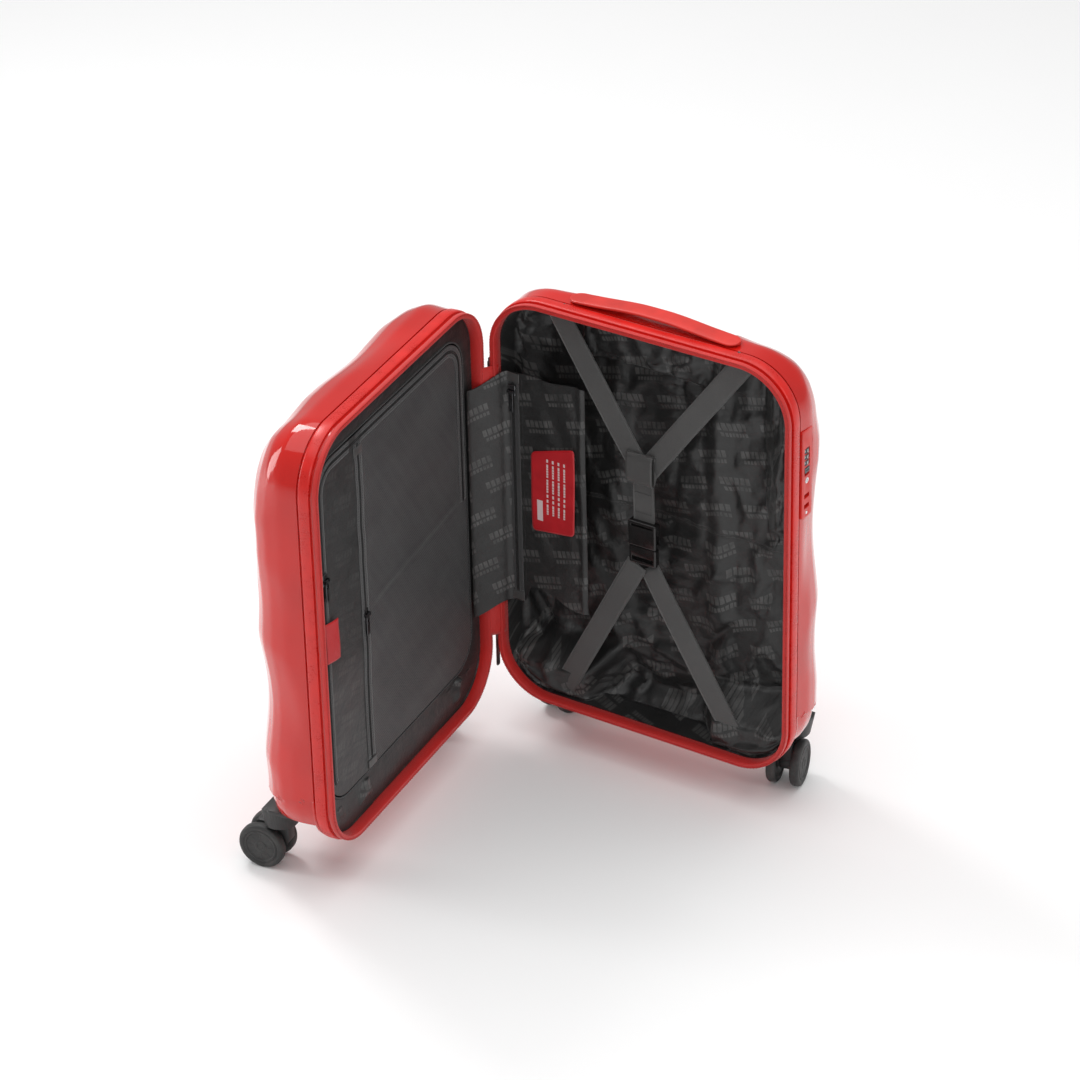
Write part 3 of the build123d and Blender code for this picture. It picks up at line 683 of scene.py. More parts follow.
# pressed dents: x, depth, z, reach and depth of each
DENTS = {
    "back": ((366, 92, 488, 60, 7.0), (366, 84, 330, 90, 6.0), (364, 84, 190, 56, 3.0), (310, 96, 528, 58, 6.0),
             (52, 92, 526, 60, 7.0), (-2, 80, 420, 70, 6.0), (-2, 84, 260, 66, 5.0), (300, 106, 400, 80, 7.5),
             (180, 106, 300, 88, 6.0), (62, 106, 330, 76, 7.0), (250, 106, 190, 70, 6.5), (96, 106, 170, 62, 5.5)),
    "front": ((366, 96, 492, 60, 8.0), (366, 88, 345, 60, 3.5), (366, 92, 226, 80, 8.5), (364, 92, 122, 36, 2.5),
              (300, 96, 530, 64, 5.0), (150, 96, 542, 80, 4.0), (40, 92, 528, 50, 3.0), (-2, 82, 400, 72, 6.0),
              (-2, 80, 220, 66, 5.5), (292, 106, 420, 84, 8.0), (150, 106, 470, 66, 6.0), (90, 106, 330, 84, 7.5),
              (240, 106, 260, 78, 7.0), (120, 106, 180, 66, 6.0)),
}
SKIRT_REACH = 88.0
SKIRT_STEP = 3.2
SKIRT_HEIGHT = 70.0                           # crease above the rim's foot, at the parting plane
SKIRT_SLOPE = 0.22
FACE_DEPTH = 104.0


def smoothed_line(line, count):
    """The profile rows, rounded off and spread evenly along their length."""
    rows = np.array(line)
    reach = np.concatenate([[0], np.cumsum(np.hypot(np.diff(rows[:, 0]), np.diff(rows[:, 1]) / 2))])
    fine = np.linspace(0, reach[-1], 900)
    dense = np.stack([np.interp(fine, reach, rows[:, k]) for k in range(5)], 1)
    window = 61
    ends = np.concatenate([np.repeat(dense[:1], window // 2, 0), dense, np.repeat(dense[-1:], window // 2, 0)])
    kernel = np.hanning(window) / np.hanning(window).sum()
    soft = np.stack([np.convolve(ends[:, k], kernel, "valid") for k in range(5)], 1)
    soft[0], soft[-1] = dense[0], dense[-1]
    pick = np.concatenate([np.linspace(0, 430, count * 2 // 3), np.linspace(450, 899, count - count * 2 // 3)])
    return soft[pick.astype(int)]


def shell_skin(name, half):
    """Outer surface of a shell as a closed solid, with its dents and corner skirts."""
    rings = []
    for depth, wide, high, drop, radius in smoothed_line(SHELL_LINE, 66):
        loop = outline(RIM_WIDTH + wide, RIM_HEIGHT + high, drop, radius, 18, (44, 74))
        rings.append(at_depth(loop, depth))
    count = len(rings[0])
    points = np.concatenate(rings)
    crease = RIM_Z + SKIRT_HEIGHT - SKIRT_SLOPE * (points[:, 1] - SHELL_START)
    above = points[:, 2] - crease
    points[:, 2] += np.where(np.abs(above) < 4.2, np.sign(above) * 1.1 - above, 0.0)
    faces = grid_faces(len(rings), count, False, True)
    faces.append(tuple(range(count - 1, -1, -1)))
    faces.append(tuple(range(len(points) - count, len(points))))
    work = bmesh.new()
    verts = [work.verts.new(p) for p in points]
    for face in faces:
        work.faces.new([verts[i] for i in face])
    bmesh.ops.recalc_face_normals(work, faces=work.faces)
    work.normal_update()
    normals = np.array([tuple(v.normal) for v in work.verts])
    work.free()
    press = np.zeros(len(points))
    for x, y, z, reach, deep in DENTS[half]:
        away = np.linalg.norm(points - np.array([x, y, z], float), axis=1) / reach
        press += deep * np.clip(1 - away ** 2, 0, 1) ** 1.6
    press += 0.7 * fractal(points, 95.0, 2, 4.0 if half == "back" else 9.0)
    press *= smoothstep(points[:, 1], SHELL_START + 1.0, 46.0)
    from_side = np.minimum(points[:, 0], RIM_WIDTH - points[:, 0])
    skirt = 1 - smoothstep(points[:, 2], crease - 1.0, crease + 1.0)
    skirt *= 1 - smoothstep(from_side, 60.0, SKIRT_REACH)
    press += SKIRT_STEP * skirt * smoothstep(points[:, 1], SHELL_START + 0.5, SHELL_START + 3.0)
    press = np.maximum(press, -0.6)
    moved = points - normals * press[:, None]
    moved[:count] = points[:count]
    moved[:, 1] = np.minimum(moved[:, 1], FACE_DEPTH)
    return piece(name, moved, faces, "shell", half)


def make_shell(half):
    """Thin moulded shell: skin, wheel arches, grip recess, and the flange under the piping."""
    name = half + "_shell_skin"
    shell = shell_skin(name, half)
    reach, front, ceiling = ARCH
    cutters = [
        rounded_box("arch_low", (-30.0, reach), (front, 160.0), (-10.0, ceiling), 10.0, 1, half=half),
        rounded_box("arch_high", (RIM_WIDTH - reach, RIM_WIDTH + 30.0), (front, 160.0), (-10.0, ceiling), 10.0, 1,
                    half=half),
    ]
    if half == "back":
        low, high, front, floor = RECESS
        cutters.append(rounded_box("recess", (low, high), (front, 160.0), (floor, 620.0), 9.0, 1, half=half))
    cut(shell, cutters)
    level = Vector(to_row([(MID_X, SHELL_START, MID_Z)], half)[0])
    inward = Vector(to_row([(MID_X, SHELL_START + 10.0, MID_Z)], half)[0]) - level
    inward.normalize()
    with edited(shell.data) as work:
        lid = [f for f in work.faces if all(abs((v.co - level).dot(inward)) < 2e-5 for v in f.verts)]
        bmesh.ops.delete(work, geom=lid, context="FACES")
    thicken(shell, SHELL_WALL, -1.0)
    if half == "back":
        low, high = case_box("lock_housing")
        holes = [rounded_box("lock_hole", (low[0], high[0] + 3.0), (low[1], high[1]), (low[2], high[2]), 3.0, 0)]
        holes += [rounded_box("tube_hole", (x - 12.4, x + 12.4), (75.6, 92.4), (470.0, 494.0), 4.0, 2)
                  for x in TUBE_X]
        for centre in handle_stems():
            holes.append(lathe("stem_hole", [(-12, 0), (-12, 7.1), (12, 7.1), (12, 0)],
                               (centre, HANDLE_MID[0], HANDLE_FOOT), (0, 0, 1), "black"))
        cut(shell, holes)
    smooth(shell, 28.0)
    paint(shell, "shell")
    flange = swept_ring("flange", ((3.0, 6.0), (3.0, SHELL_START), (1.2, SHELL_START + 0.3), (1.4, SHELL_START + 2.6),
                                   (5.2, SHELL_START + 2.6), (5.4, 6.0)), "shell", half)
    shell = join(name, [shell, flange])
    return settle(shell, half + "_half", "shell_red", half + "_shell")


# ---- lathe and handle ------------------------------------------------------------------------------
def lathe(name, profile, centre, axis, material, half="back", segments=56):
    """Turned piece: profile is (along the axis, radius) from end to end, about a case point."""
    along = np.array(axis, float) / np.linalg.norm(axis)
    side = np.cross(along, (0.0, 0.0, 1.0) if abs(along[2]) < 0.9 else (1.0, 0.0, 0.0))
    side /= np.linalg.norm(side)
    up = np.cross(along, side)
    points, faces, rows = [], [], []
    for s, r in profile:
        start = len(points)
        if r < 1e-6:
            points.append(np.array(centre, float) + along * s)
            rows.append([start])
            continue
        for k in range(segments):
            turn = 2 * pi * k / segments
            points.append(np.array(centre, float) + along * s + (side * cos(turn) + up * sin(turn)) * r)
        rows.append(list(range(start, start + segments)))
    for a, b in zip(rows, rows[1:]):
        for k in range(segments):
            m = (k + 1) % segments
            if len(a) == 1:
                faces.append((a[0], b[k], b[m]))
            elif len(b) == 1:
                faces.append((a[k], b[0], a[m]))
            else:
                faces.append((a[k], b[k], b[m], a[m]))
    return piece(name, points, faces, material, half)


HANDLE_LOW, HANDLE_HIGH = case_box("carry_handle")
HANDLE_MID = ((HANDLE_LOW[1] + HANDLE_HIGH[1]) / 2, (HANDLE_HIGH[1] - HANDLE_LOW[1]) / 2)
HANDLE_FOOT = 540.6
HANDLE_THICK = 4.4
HANDLE_TURN = 1.2                             # where rings start to crowd towards the ends


def handle_stems():
    return (HANDLE_LOW[0] + 12.0, HANDLE_HIGH[0] - 12.0)


def carry_handle():
    """Soft-touch grip: flat round-ended strip that arches between its two feet."""
    low, high = HANDLE_LOW[0], HANDLE_HIGH[0]
    middle, span = (low + high) / 2, (high - low) / 2
    rise = HANDLE_HIGH[2] - HANDLE_FOOT - HANDLE_THICK
    points = []
    around = 28
    turns = np.linspace(-pi / 2, pi / 2, 90)
    even = HANDLE_TURN / (pi / 2)
    for t in turns:
        share = t / (pi / 2)
        if abs(t) >= HANDLE_TURN:
            ending = (abs(t) - HANDLE_TURN) / (pi / 2 - HANDLE_TURN)
            share = np.sign(t) * (even + (1 - even) * sin(ending * pi / 2))
        x = middle + span * 0.9995 * share
        end = span - abs(x - middle)
        wide = HANDLE_MID[1] * np.sqrt(max(1 - max(1 - end / HANDLE_MID[1], 0) ** 2, 1e-4))
        arch = rise * smoothstep(end, 16.0, 92.0) ** 0.85
        thick = HANDLE_THICK * (0.62 + 0.38 * smoothstep(end, 0.0, 26.0))
        for k in range(around):
            turn = 2 * pi * k / around
            c, s = cos(turn), sin(turn)
            y = HANDLE_MID[0] + wide * np.sign(c) * abs(c) ** 0.55
            z = HANDLE_FOOT + arch + HANDLE_THICK / 2 + thick / 2 * np.sign(s) * abs(s) ** 0.6
            points.append((x, y, z - (HANDLE_THICK - thick) / 2 * 0.8))
    rows = len(turns)
    faces = grid_faces(rows, around, False, True)
    faces.append(tuple(range(around)))
    faces.append(tuple(range((rows - 1) * around, rows * around)))
    strip = piece("carry_handle_grip", points, faces, "handle")
    stems = [lathe("stem", [(-5.6, 0), (-5.6, 3.0), (1.0, 3.0), (1.0, 0)], (x, HANDLE_MID[0], HANDLE_FOOT), (0, 0, 1),
                   "handle", segments=24) for x in handle_stems()]
    return settle(join("carry_handle_grip", [strip, *stems]), "carry_handle", "grip_red", "carry_handle")


# ---- rims ------------------------------------------------------------------------------------------
PIPING = ((3.0, 21.0), (0.9, 21.0), (0.25, 20.3), (0.0, 19.2), (-0.1, 15.0), (0.0, 10.9), (0.3, 9.8), (0.9, 9.1),
          (3.0, 9.0))
TAPE = ((1.5, 5.4), (1.35, 3.4), (1.5, 1.5), (2.0, 0.8), (3.0, 0.6), (3.6, 1.0), (4.4, 1.1), (5.2, 0.7), (6.4, 0.8),
        (7.2, 1.7), (7.25, 8.0), (7.2, 14.4), (6.6, 15.0), (5.7, 14.6), (5.5, 6.4), (2.1, 6.2))


def make_rim(half):
    """Piping, zip tape, teeth and stitches round one half."""
    body = half + "_half"
    piping = swept_ring(half + "_piping", PIPING, "rim", half, 24)
    settle(piping, body, "rim_red", half + "_rim")
    tape = swept_ring(half + "_tape_band", TAPE, "tape", half, 24, sharp=50.0)
    settle(tape, body, "zip_red", half + "_zip_tape")
    loop = outline(RIM_WIDTH - 4.9, RIM_HEIGHT - 4.9, 0.0, RIM_RADIUS - 2.4, 40, (60, 90))
    teeth = beads(half + "_main_teeth", at_depth(loop, 0.75, True), 1.9, (1.0, 1.5, 0.9), "teeth_red", half,
                  stagger=0.12)
    settle(teeth, body, "zip_red")
    seam = outline(RIM_WIDTH - 14.8, RIM_HEIGHT - 14.8, 0.0, RIM_RADIUS - 7.4, 30, (50, 76))
    inward = beads(half + "_tape_stitches", at_depth(seam, 12.6, True), 3.4, (2.3, 0.5, 0.5), "thread_red", half)
    settle(inward, body, "zip_red")


# ---- linings ---------------------------------------------------------------------------------------
LINING_INSET = 7.5
LINING_RADIUS = 54.0
LINING_LIP = 13.4
LINING_FLOOR = 75.0
LOCK_BAY = (342.0, 358.0, 468.0)              # low x, low z and high z of the lock's bulge in the lining


def soft_min(a, b, blend):
    """Smaller of two surfaces, rounded where they meet."""
    h = np.clip(0.5 + 0.5 * (b - a) / blend, 0.0, 1.0)
    return b + (a - b) * h - blend * h * (1 - h)


def crumple(cloth, loose, frames, spare):
    """Let held cloth settle with a little spare length, so that it buckles; the result is applied."""
    held = cloth.vertex_groups.new(name="held")
    held.add([int(i) for i in np.nonzero(~loose)[0]], 1.0, "REPLACE")
    soft = cloth.modifiers.new("settle", "CLOTH")
    soft.settings.quality = 4
    soft.settings.mass = 0.15
    soft.settings.tension_stiffness = soft.settings.compression_stiffness = 12.0
    soft.settings.bending_stiffness = 0.08
    soft.settings.air_damping = 3.0
    soft.settings.shrink_min = -spare
    soft.settings.vertex_group_mass = "held"
    soft.settings.effector_weights.gravity = 0.4
    soft.collision_settings.use_self_collision = False
    before = np.zeros(len(cloth.data.vertices) * 3)
    cloth.data.vertices.foreach_get("co", before)
    before = before.reshape(-1, 3)
    stage = bpy.context.scene
    stage.frame_start, stage.frame_end = 1, frames
    soft.point_cache.frame_start, soft.point_cache.frame_end = 1, frames
    for number in range(1, frames + 1):
        stage.frame_set(number)
    after = np.zeros_like(before).ravel()
    cloth.evaluated_get(bpy.context.evaluated_depsgraph_get()).data.vertices.foreach_get("co", after)
    moved = after.reshape(-1, 3) - before
    moved = np.clip(moved, (-0.004, -0.010, -0.003), (0.004, 0.0004, 0.003))
    cloth.modifiers.remove(soft)
    stage.frame_set(1)
    cloth.data.vertices.foreach_set("co", (before + moved).ravel())
    cloth.data.update()


def make_lining(half):
    """Loose cloth basin: fixed at the rim, gathered on seams and crumpled over arches, tubes and lock."""
    edge = LINING_INSET
    xs = crowded(edge, RIM_WIDTH - edge, 122, power=0.75)
    zs = crowded(RIM_Z + edge, RIM_Z + RIM_HEIGHT - edge, 160, power=0.75)
    gx, gz = snapped_grid(xs, zs, (edge, RIM_Z + edge), (RIM_WIDTH - edge, RIM_Z + RIM_HEIGHT - edge), LINING_RADIUS)
    x, z = gx.ravel(), gz.ravel()
    depth_in = np.maximum(inside(x, z, edge, LINING_RADIUS), 0.0)
    flat = np.column_stack([x, np.zeros(len(x)), z])
    wander = fractal(flat, 120.0, 2, 3.0)
    t = np.clip(depth_in / (34.0 + 8.0 * wander), 0.0, 1.0)
    y = LINING_LIP + (LINING_FLOOR - LINING_LIP) * (1 - (1 - t) ** 2.3) ** (1 / 2.3)
    reach, front, ceiling = ARCH
    over = np.minimum(x, RIM_WIDTH - x) - reach - 6.0
    corner = np.maximum(over, z - ceiling - 6.0)
    y = soft_min(y, front - 9.0 + 1.9 * np.maximum(corner - 3.0, 0.0) + 2.0 * wander, 9.0)
    if half == "back":
        low, high, front, floor = RECESS
        top = np.maximum(np.maximum(low - x, x - high), floor - z)
        y = soft_min(y, front - 6.5 + 2.2 * np.maximum(top, 0.0), 8.0)
        for tube in TUBE_X:
            y = soft_min(y, 68.0 + 0.045 * (x - tube) ** 2, 8.0)
        low_x, low_z, high_z = LOCK_BAY
        lock = np.maximum(np.maximum(low_x - x, z - high_z), low_z - z)
        y = soft_min(y, 15.0 + 1.4 * np.maximum(lock, 0.0) + 30.0 * (lock > 40), 6.0)
    fixed = smoothstep(depth_in, 0.5, 16.0)
    fold = 1 - np.abs(fractal(flat, 74.0, 2, 21.0))
    small = 1 - np.abs(fractal(flat + wander[:, None] * 9.0, 30.0, 2, 40.0))
    y = y - fixed * (5.2 * np.clip(fold, 0, 1) ** 5 + 2.0 * np.clip(small, 0, 1) ** 4)
    y = y + fixed * 1.6 * wander
    if half == "back":
        seam = 186.0 + 14.0 * np.sin((z - 300.0) / 120.0) - 0.10 * np.maximum(250.0 - z, 0.0)
        off = x - seam
        gather = np.exp(-np.abs(off) / 20.0)
        ripple = np.sin(z * 0.42 + 3.0 * fractal(flat, 60.0, 2, 60.0)) * np.sin(np.clip(np.abs(off) / 8.0, 0, pi / 2))
        y = y + fixed * (2.2 * gather * ripple + 4.0 * np.exp(-(off / 3.4) ** 2))
    y = np.clip(y, 8.0, LINING_FLOOR)
    points = np.column_stack([x, y, z])
    uv = np.column_stack([x, z + 0.7 * (y - LINING_LIP) * np.sign(z - MID_Z)]) * 0.001
    name = half + "_lining_cloth"
    cloth = piece(name, points, grid_faces(len(xs), len(zs)), "lining", half, uv, closed=False, sharp=80.0)
    if half == "back":
        crumple(cloth, depth_in > 3.0, 18, 0.05)
    with edited(cloth.data) as work:
        bmesh.ops.remove_doubles(work, verts=work.verts, dist=1e-5)
    thicken(cloth, 0.6)
    smooth(cloth, 80.0)
    if half == "back":
        settle(cloth, "back_half", "lining_grey", "back_lining")
    else:
        settle(cloth, "front_half", "lining_grey")
    return cloth


# ---- straps, keeper and buckle ---------------------------------------------------------------------
STRAP_WIDTH = 25.0
STRAP_THICK = 1.3
STRAP_TOP, STRAP_FOOT = RIM_Z + 484.0, RIM_Z + 4.0


def strap_between(name, start, end, sag, twist=0.0):
    """Webbing between two case points, bowed a little and turned on itself."""
    start, end = np.array(start, float), np.array(end, float)
    t = np.linspace(0.0, 1.0, 40)
    centres = start + (end - start) * t[:, None]
    centres[:, 1] += sag * np.sin(pi * t) + 0.5 * np.sin(7 * t + start[0])
    run = (end - start) / np.linalg.norm(end - start)
    flat = np.array([-run[2], 0.0, run[0]])
    out = np.array([0.0, 1.0, 0.0])
    turn = twist * np.sin(pi * t)
    sides = flat * np.cos(turn)[:, None] + out * np.sin(turn)[:, None]
    return ribbon(name, centres, sides, STRAP_WIDTH, STRAP_THICK, "webbing")


def make_straps():
    """Upper and lower pairs, the middle strap, and its stitches."""
    left = strap_between("upper_strap_left", (74.0, 19.0, STRAP_TOP), (173.0, 16.5, RIM_Z + 326.0), -1.2, 0.10)
    right = strap_between("upper_strap_right", (301.0, 19.5, STRAP_TOP), (181.0, 18.5, RIM_Z + 318.0), -1.5, -0.08)
    settle(left, "back_half", "webbing_grey", "upper_straps")
    settle(right, "back_half", "webbing_grey")
    centre = strap_between("centre_strap_web", (178.0, 18.8, RIM_Z + 330.0), (178.0, 18.4, RIM_Z + 252.0), 0.0)
    settle(centre, "back_half", "webbing_grey", "centre_strap")
    low_left = strap_between("lower_strap_left", (68.0, 18.6, STRAP_FOOT), (171.0, 15.5, RIM_Z + 205.0), -1.4, 0.10)
    low_right = strap_between("lower_strap_right", (300.0, 18.0, STRAP_FOOT), (184.0, 18.8, RIM_Z + 203.0), -1.4,
                              -0.12)
    for strap, nodes in ((low_left, ["lower_straps"]), (low_right, [])):
        settle(strap, "back_half", "webbing_grey", *nodes)
        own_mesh(strap)
    stitched = []
    for k, (cx, cz) in enumerate(((178.0, RIM_Z + 292.0), (178.0, RIM_Z + 268.0))):
        path = [(cx - 10.5, 17.3, cz), (cx + 10.5, 17.3, cz)]
        stitched.append(beads(f"strap_stitch_{k}", path, 2.6, (1.9, 0.45, 0.45), "thread", across=(0, -1, 0)))
    settle(join("strap_stitches", stitched), "back_half", "webbing_grey")


def make_keeper():
    """Satin tape folded over the upper straps into a flattened tube, open at its sides."""
    low, high = case_box("strap_keeper")
    middle, half_high = (low[2] + high[2]) / 2, (high[2] - low[2]) / 2
    depth, half_deep = (low[1] + high[1]) / 2 + 0.3, (high[1] - low[1]) / 2 - 0.2
    around, across = 64, 15
    points, uv = [], []
    for i in range(around):
        turn = 2 * pi * i / around
        c, s = cos(turn), sin(turn)
        y = depth + half_deep * np.sign(c) * abs(c) ** 0.75
        z = middle + half_high * np.sign(s) * abs(s) ** 0.5
        for j in range(across):
            t = j / (across - 1)
            pinch = 1 - 0.05 * sin(pi * t)
            points.append((low[0] + (high[0] - low[0]) * t, depth + (y - depth) * pinch, z + 0.5 * sin(9 * t + i)))
            uv.append((t * 0.032, i / around * 0.1))
    keeper = piece("strap_keeper_loop", points, grid_faces(around, across, True, False), "satin", uv=uv, closed=False,
                   sharp=80)
    thicken(keeper, 1.1, 1.0)
    settle(keeper, "back_half", "webbing_grey", "strap_keeper")


def make_buckle():
    softened("buckle_socket", "buckle_female", 0.8, "buckle", "buckle_black", 3, merge=False)
    softened("buckle_plug", "buckle_male", 0.9, "buckle", "buckle_black", 3)


# ---- zips ------------------------------------------------------------------------------------------
def zip_run(name, path, half, body, width=9.0, out=(0.0, -1.0, 0.0), gap=0.9):
    """Two rows of coil on a pair of tapes along a path, with a stitch line on each side."""
    path = np.array(path, float)
    forward = np.gradient(path, axis=0)
    forward /= np.linalg.norm(forward, axis=1)[:, None]
    sides = np.cross(forward, np.array(out, float))
    raised = path + np.array(out) * 0.45
    strip = ribbon(name + "_tape", path, sides, 2 * width, 0.5, "binding", half, 13)
    coil = [beads(f"{name}_coil_{k}", raised, 1.25, (0.8, 1.5, 1.1), "coil", half, out, shift)
            for k, shift in enumerate((-gap, gap))]
    lines = [beads(f"{name}_stitch_{k}", raised - np.array(out) * 0.15, 2.9, (2.1, 0.42, 0.42), "thread", half, out,
                   shift) for k, shift in enumerate((-width * 0.62, width * 0.62))]
    settle(strip, body, "zip_metal")
    settle(join(name + "_coil", coil + lines), body, "zip_metal")
    return strip


# ---- hinge pocket and hinge strip ------------------------------------------------------------------
POCKET_LOW, POCKET_HIGH = case_box("hinge_pocket")


def spline(points, count):
    """Smooth path through points, evenly spread."""
    p = np.array(points, float)
    ends = np.concatenate([[2 * p[0] - p[1]], p, [2 * p[-1] - p[-2]]])
    out = []
    for i in range(len(p) - 1):
        a, b, c, d = ends[i:i + 4]
        for t in np.linspace(0, 1, 24, endpoint=False):
            out.append(0.5 * (2 * b + (c - a) * t + (2 * a - 5 * b + 4 * c - d) * t ** 2
                              + (3 * b - a - 3 * c + d) * t ** 3))
    out.append(p[-1])
    out = np.array(out)
    reach = np.concatenate([[0], np.cumsum(np.linalg.norm(np.diff(out, axis=0), axis=1))])
    even = np.linspace(0, reach[-1], count)
    return np.stack([np.interp(even, reach, out[:, k]) for k in range(out.shape[1])], 1), even


def hinge_pocket():
    """Zipped cloth that runs from the divider's edge, across the hinge and into the back half."""
    plan, reach = spline(((-10.9, -25.4), (-9.6, -21.6), (-4.4, -13.5), (3.6, -3.4), (8.9, 3.6), (12.4, 9.8),
                          (17.5, 13.0), (28.0, 13.8), (60.0, 14.2), (88.0, 14.8), (108.0, 17.0)), 110)
    rows = 130
    low, high = POCKET_LOW[2], POCKET_HIGH[2]
    forward = np.gradient(plan, axis=0)
    forward /= np.linalg.norm(forward, axis=1)[:, None]
    out = np.stack([forward[:, 1], -forward[:, 0]], 1)
    points, uv = [], []
    for i in range(len(plan)):
        s = reach[i]
        ease = smoothstep(s, 52.0, 90.0)
        raised = 22.0 * smoothstep(s, 60.0, 70.0) * (1 - 0.7 * smoothstep(s, 80, 130))
        bottom = low - 12.0 * smoothstep(-s, -40.0, -4.0) + raised
        top = high - 14.0 * smoothstep(-s, -46.0, -4.0) + 1.5 * sin(s / 9.0) * ease
        for j in range(rows):
            t = j / (rows - 1)
            z = bottom + (top - bottom) * t
            points.append((plan[i][0], plan[i][1], z))
            uv.append((s * 0.001, z * 0.001))
    points = np.array(points)
    outs = np.repeat(np.column_stack([out, np.zeros(len(out))]), rows, 0)
    s_all, z_all = np.repeat(reach, rows), points[:, 2]
    base = np.column_stack([s_all, np.zeros(len(points)), z_all])
    waves = fractal(base * np.array([1.0, 1.0, 0.35]), 42.0, 2, 7.0)
    slant = fractal(np.column_stack([s_all + 0.5 * z_all, s_all * 0, z_all * 0.3]), 30.0, 2, 31.0)
    loose = smoothstep(s_all, 60.0, 95.0)
    held = smoothstep(s_all, 0.0, 14.0)
    lift = held * (0.9 * waves * (0.5 + loose) + 1.5 * loose * np.clip(slant, -0.4, 1.0))
    pucker = np.sin(z_all * 0.62 + 2.0 * waves) * np.exp(-np.abs(s_all - 66.0) / 7.0) * 0.5
    hem = 1.6 * np.exp(-((s_all - reach[-1] + 5.0) / 3.0) ** 2)
    points += outs * (lift + pucker + hem)[:, None]
    cloth = piece("hinge_pocket_cloth", points, grid_faces(len(plan), rows), "lining", uv=uv, closed=False, sharp=80)
    thicken(cloth, 0.9)
    smooth(cloth, 80)
    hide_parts("hinge_pocket")
    start, end = to_row([(-9.6, -21.6, MID_Z), (12.4, 9.8, MID_Z)])
    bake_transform(cloth, "front_half", "back_half", start=tuple(start), end=tuple(end))
    zip_x = 22.0
    face = POCKET_LOW[1]
    column = [(zip_x, face + 0.1, z) for z in np.linspace(low + 12.0, high - 8.0, 60)]
    strip = zip_run("pocket_zip", column, "back", "back_half", 7.0)
    travel = JOINTS["hinge_pocket_zip"]["range_m"][1] * 1000
    stop_z = min(low + 9.0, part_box("hinge_pocket_slider")[0].z * 1000 - travel - 6.5)
    tabs = [rounded_box(f"zip_stop_{k}", (zip_x - 8.0, zip_x + 8.0), (face - 0.9, face + 0.5), (z - 5.5, z + 5.5), 0.6,
                        material="satin") for k, z in enumerate((stop_z, high - 6.0))]
    settle(join("pocket_zip_stops", tabs), "back_half", "zip_metal")
    seams = []
    for k, x in enumerate((32.5, 104.0)):
        path = [(x, face + (0.3 if k == 0 else 1.6), z) for z in np.linspace(low + 26.0, high - 5.0, 40)]
        seams.append(beads(f"pocket_seam_{k}", path, 3.0, (2.1, 0.5, 0.5), "thread", across=(0, -1, 0)))
    settle(join("pocket_seams", seams), "back_half", "lining_grey")


def pocket_label():
    """Label sewn on the pocket, wider at its far end, with its free corner lifting."""
    low, high = (43.0, 260.0), (97.0, 356.0)
    across, upward = np.linspace(0.0, 1.0, 26), np.linspace(0.0, 1.0, 40)
    u, v = np.meshgrid(across, upward, indexing="ij")
    x, z = snapped_grid(low[0] + (high[0] - low[0]) * across, low[1] + (high[1] - low[1]) * upward, low, high, 5.0)
    lift = 1.2 + 0.6 * np.sin(4.0 * v + 2.0 * u) + 1.6 * smoothstep(u - v, 0.2, 1.0)
    z = z + 8.0 * u + 9.0 * u * v
    points = np.column_stack([x.ravel(), (POCKET_LOW[1] - lift).ravel(), z.ravel()])
    label = piece("pocket_label", points, grid_faces(len(across), len(upward)), "label", uv=points[:, [0, 2]] * 0.001,
                  closed=False, sharp=80)
    thicken(label, 0.4)
    settle(label, "back_half", "zip_red")


def hinge_strip():
    """Red cloth gusset between the two tapes, along the hinge side."""
    low, high = case_box("hinge_strip")
    plan, reach = spline(((-13.6, -9.0), (-9.0, -9.3), (-4.6, -8.3), (-1.2, -6.0), (1.6, -3.2), (4.4, 1.2), (6.6, 4.6),
                          (7.0, 9.0)), 40)
    rows = 60
    points, uv = [], []
    for i in range(len(plan)):
        for j in range(rows):
            z = low[2] - 6.0 + (high[2] - low[2] + 12.0) * j / (rows - 1)
            ripple = 0.35 * sin(z * 0.05) * sin(pi * i / (len(plan) - 1))
            points.append((plan[i][0] + ripple, plan[i][1] - ripple, z))
            uv.append((reach[i] * 0.001, z * 0.001))
    cloth = piece("hinge_gusset", points, grid_faces(len(plan), rows), "tape", uv=uv, closed=False, sharp=80)
    thicken(cloth, 1.0)
    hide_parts("hinge_strip")
    start, end = to_row([(-4.6, -8.3, MID_Z), (4.4, 1.2, MID_Z)])
    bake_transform(cloth, "front_half", "back_half", start=tuple(start), end=tuple(end))


# ---- divider ---------------------------------------------------------------------------------------
DIVIDER_X = (24.0, 338.0)
DIVIDER_Z = (100.0, 500.0)
DIVIDER_MID_Z = 300.0
DIVIDER_RADIUS = 36.0
SPLIT_X = 254.0


def divider_depth(x, z):
    """Depth of the divider's face: slack cloth with streaks, a fold line and a raised pocket edge."""
    flat = np.column_stack([x, np.zeros(len(x)), z])
    edge = np.minimum(np.minimum(x - DIVIDER_X[0], DIVIDER_X[1] - x), np.minimum(z - DIVIDER_Z[0], DIVIDER_Z[1] - z))
    hold = smoothstep(edge, 4.0, 34.0)
    streaks = fractal(np.column_stack([x * 0.35 + z * 0.25, x * 0, z]), 46.0, 2, 12.0)
    slack = fractal(flat, 110.0, 2, 50.0)
    fold_z = 305.0 - 0.09 * (x - 30.0)
    fold = 0.9 * np.exp(-((z - fold_z) / 1.6) ** 2) - 0.8 * np.exp(-((z - fold_z - 5.0) / 4.0) ** 2)
    fold *= smoothstep(x, 24.0, 60.0) * (1 - smoothstep(x, 215.0, 245.0))
    pocket = 0.9 * np.exp(-((x - SPLIT_X) / 16.0) ** 2)
    return DIVIDER_Y - 0.2 - hold * (0.7 * streaks + 1.3 * np.clip(slack, -0.5, 1.0) - fold) - pocket


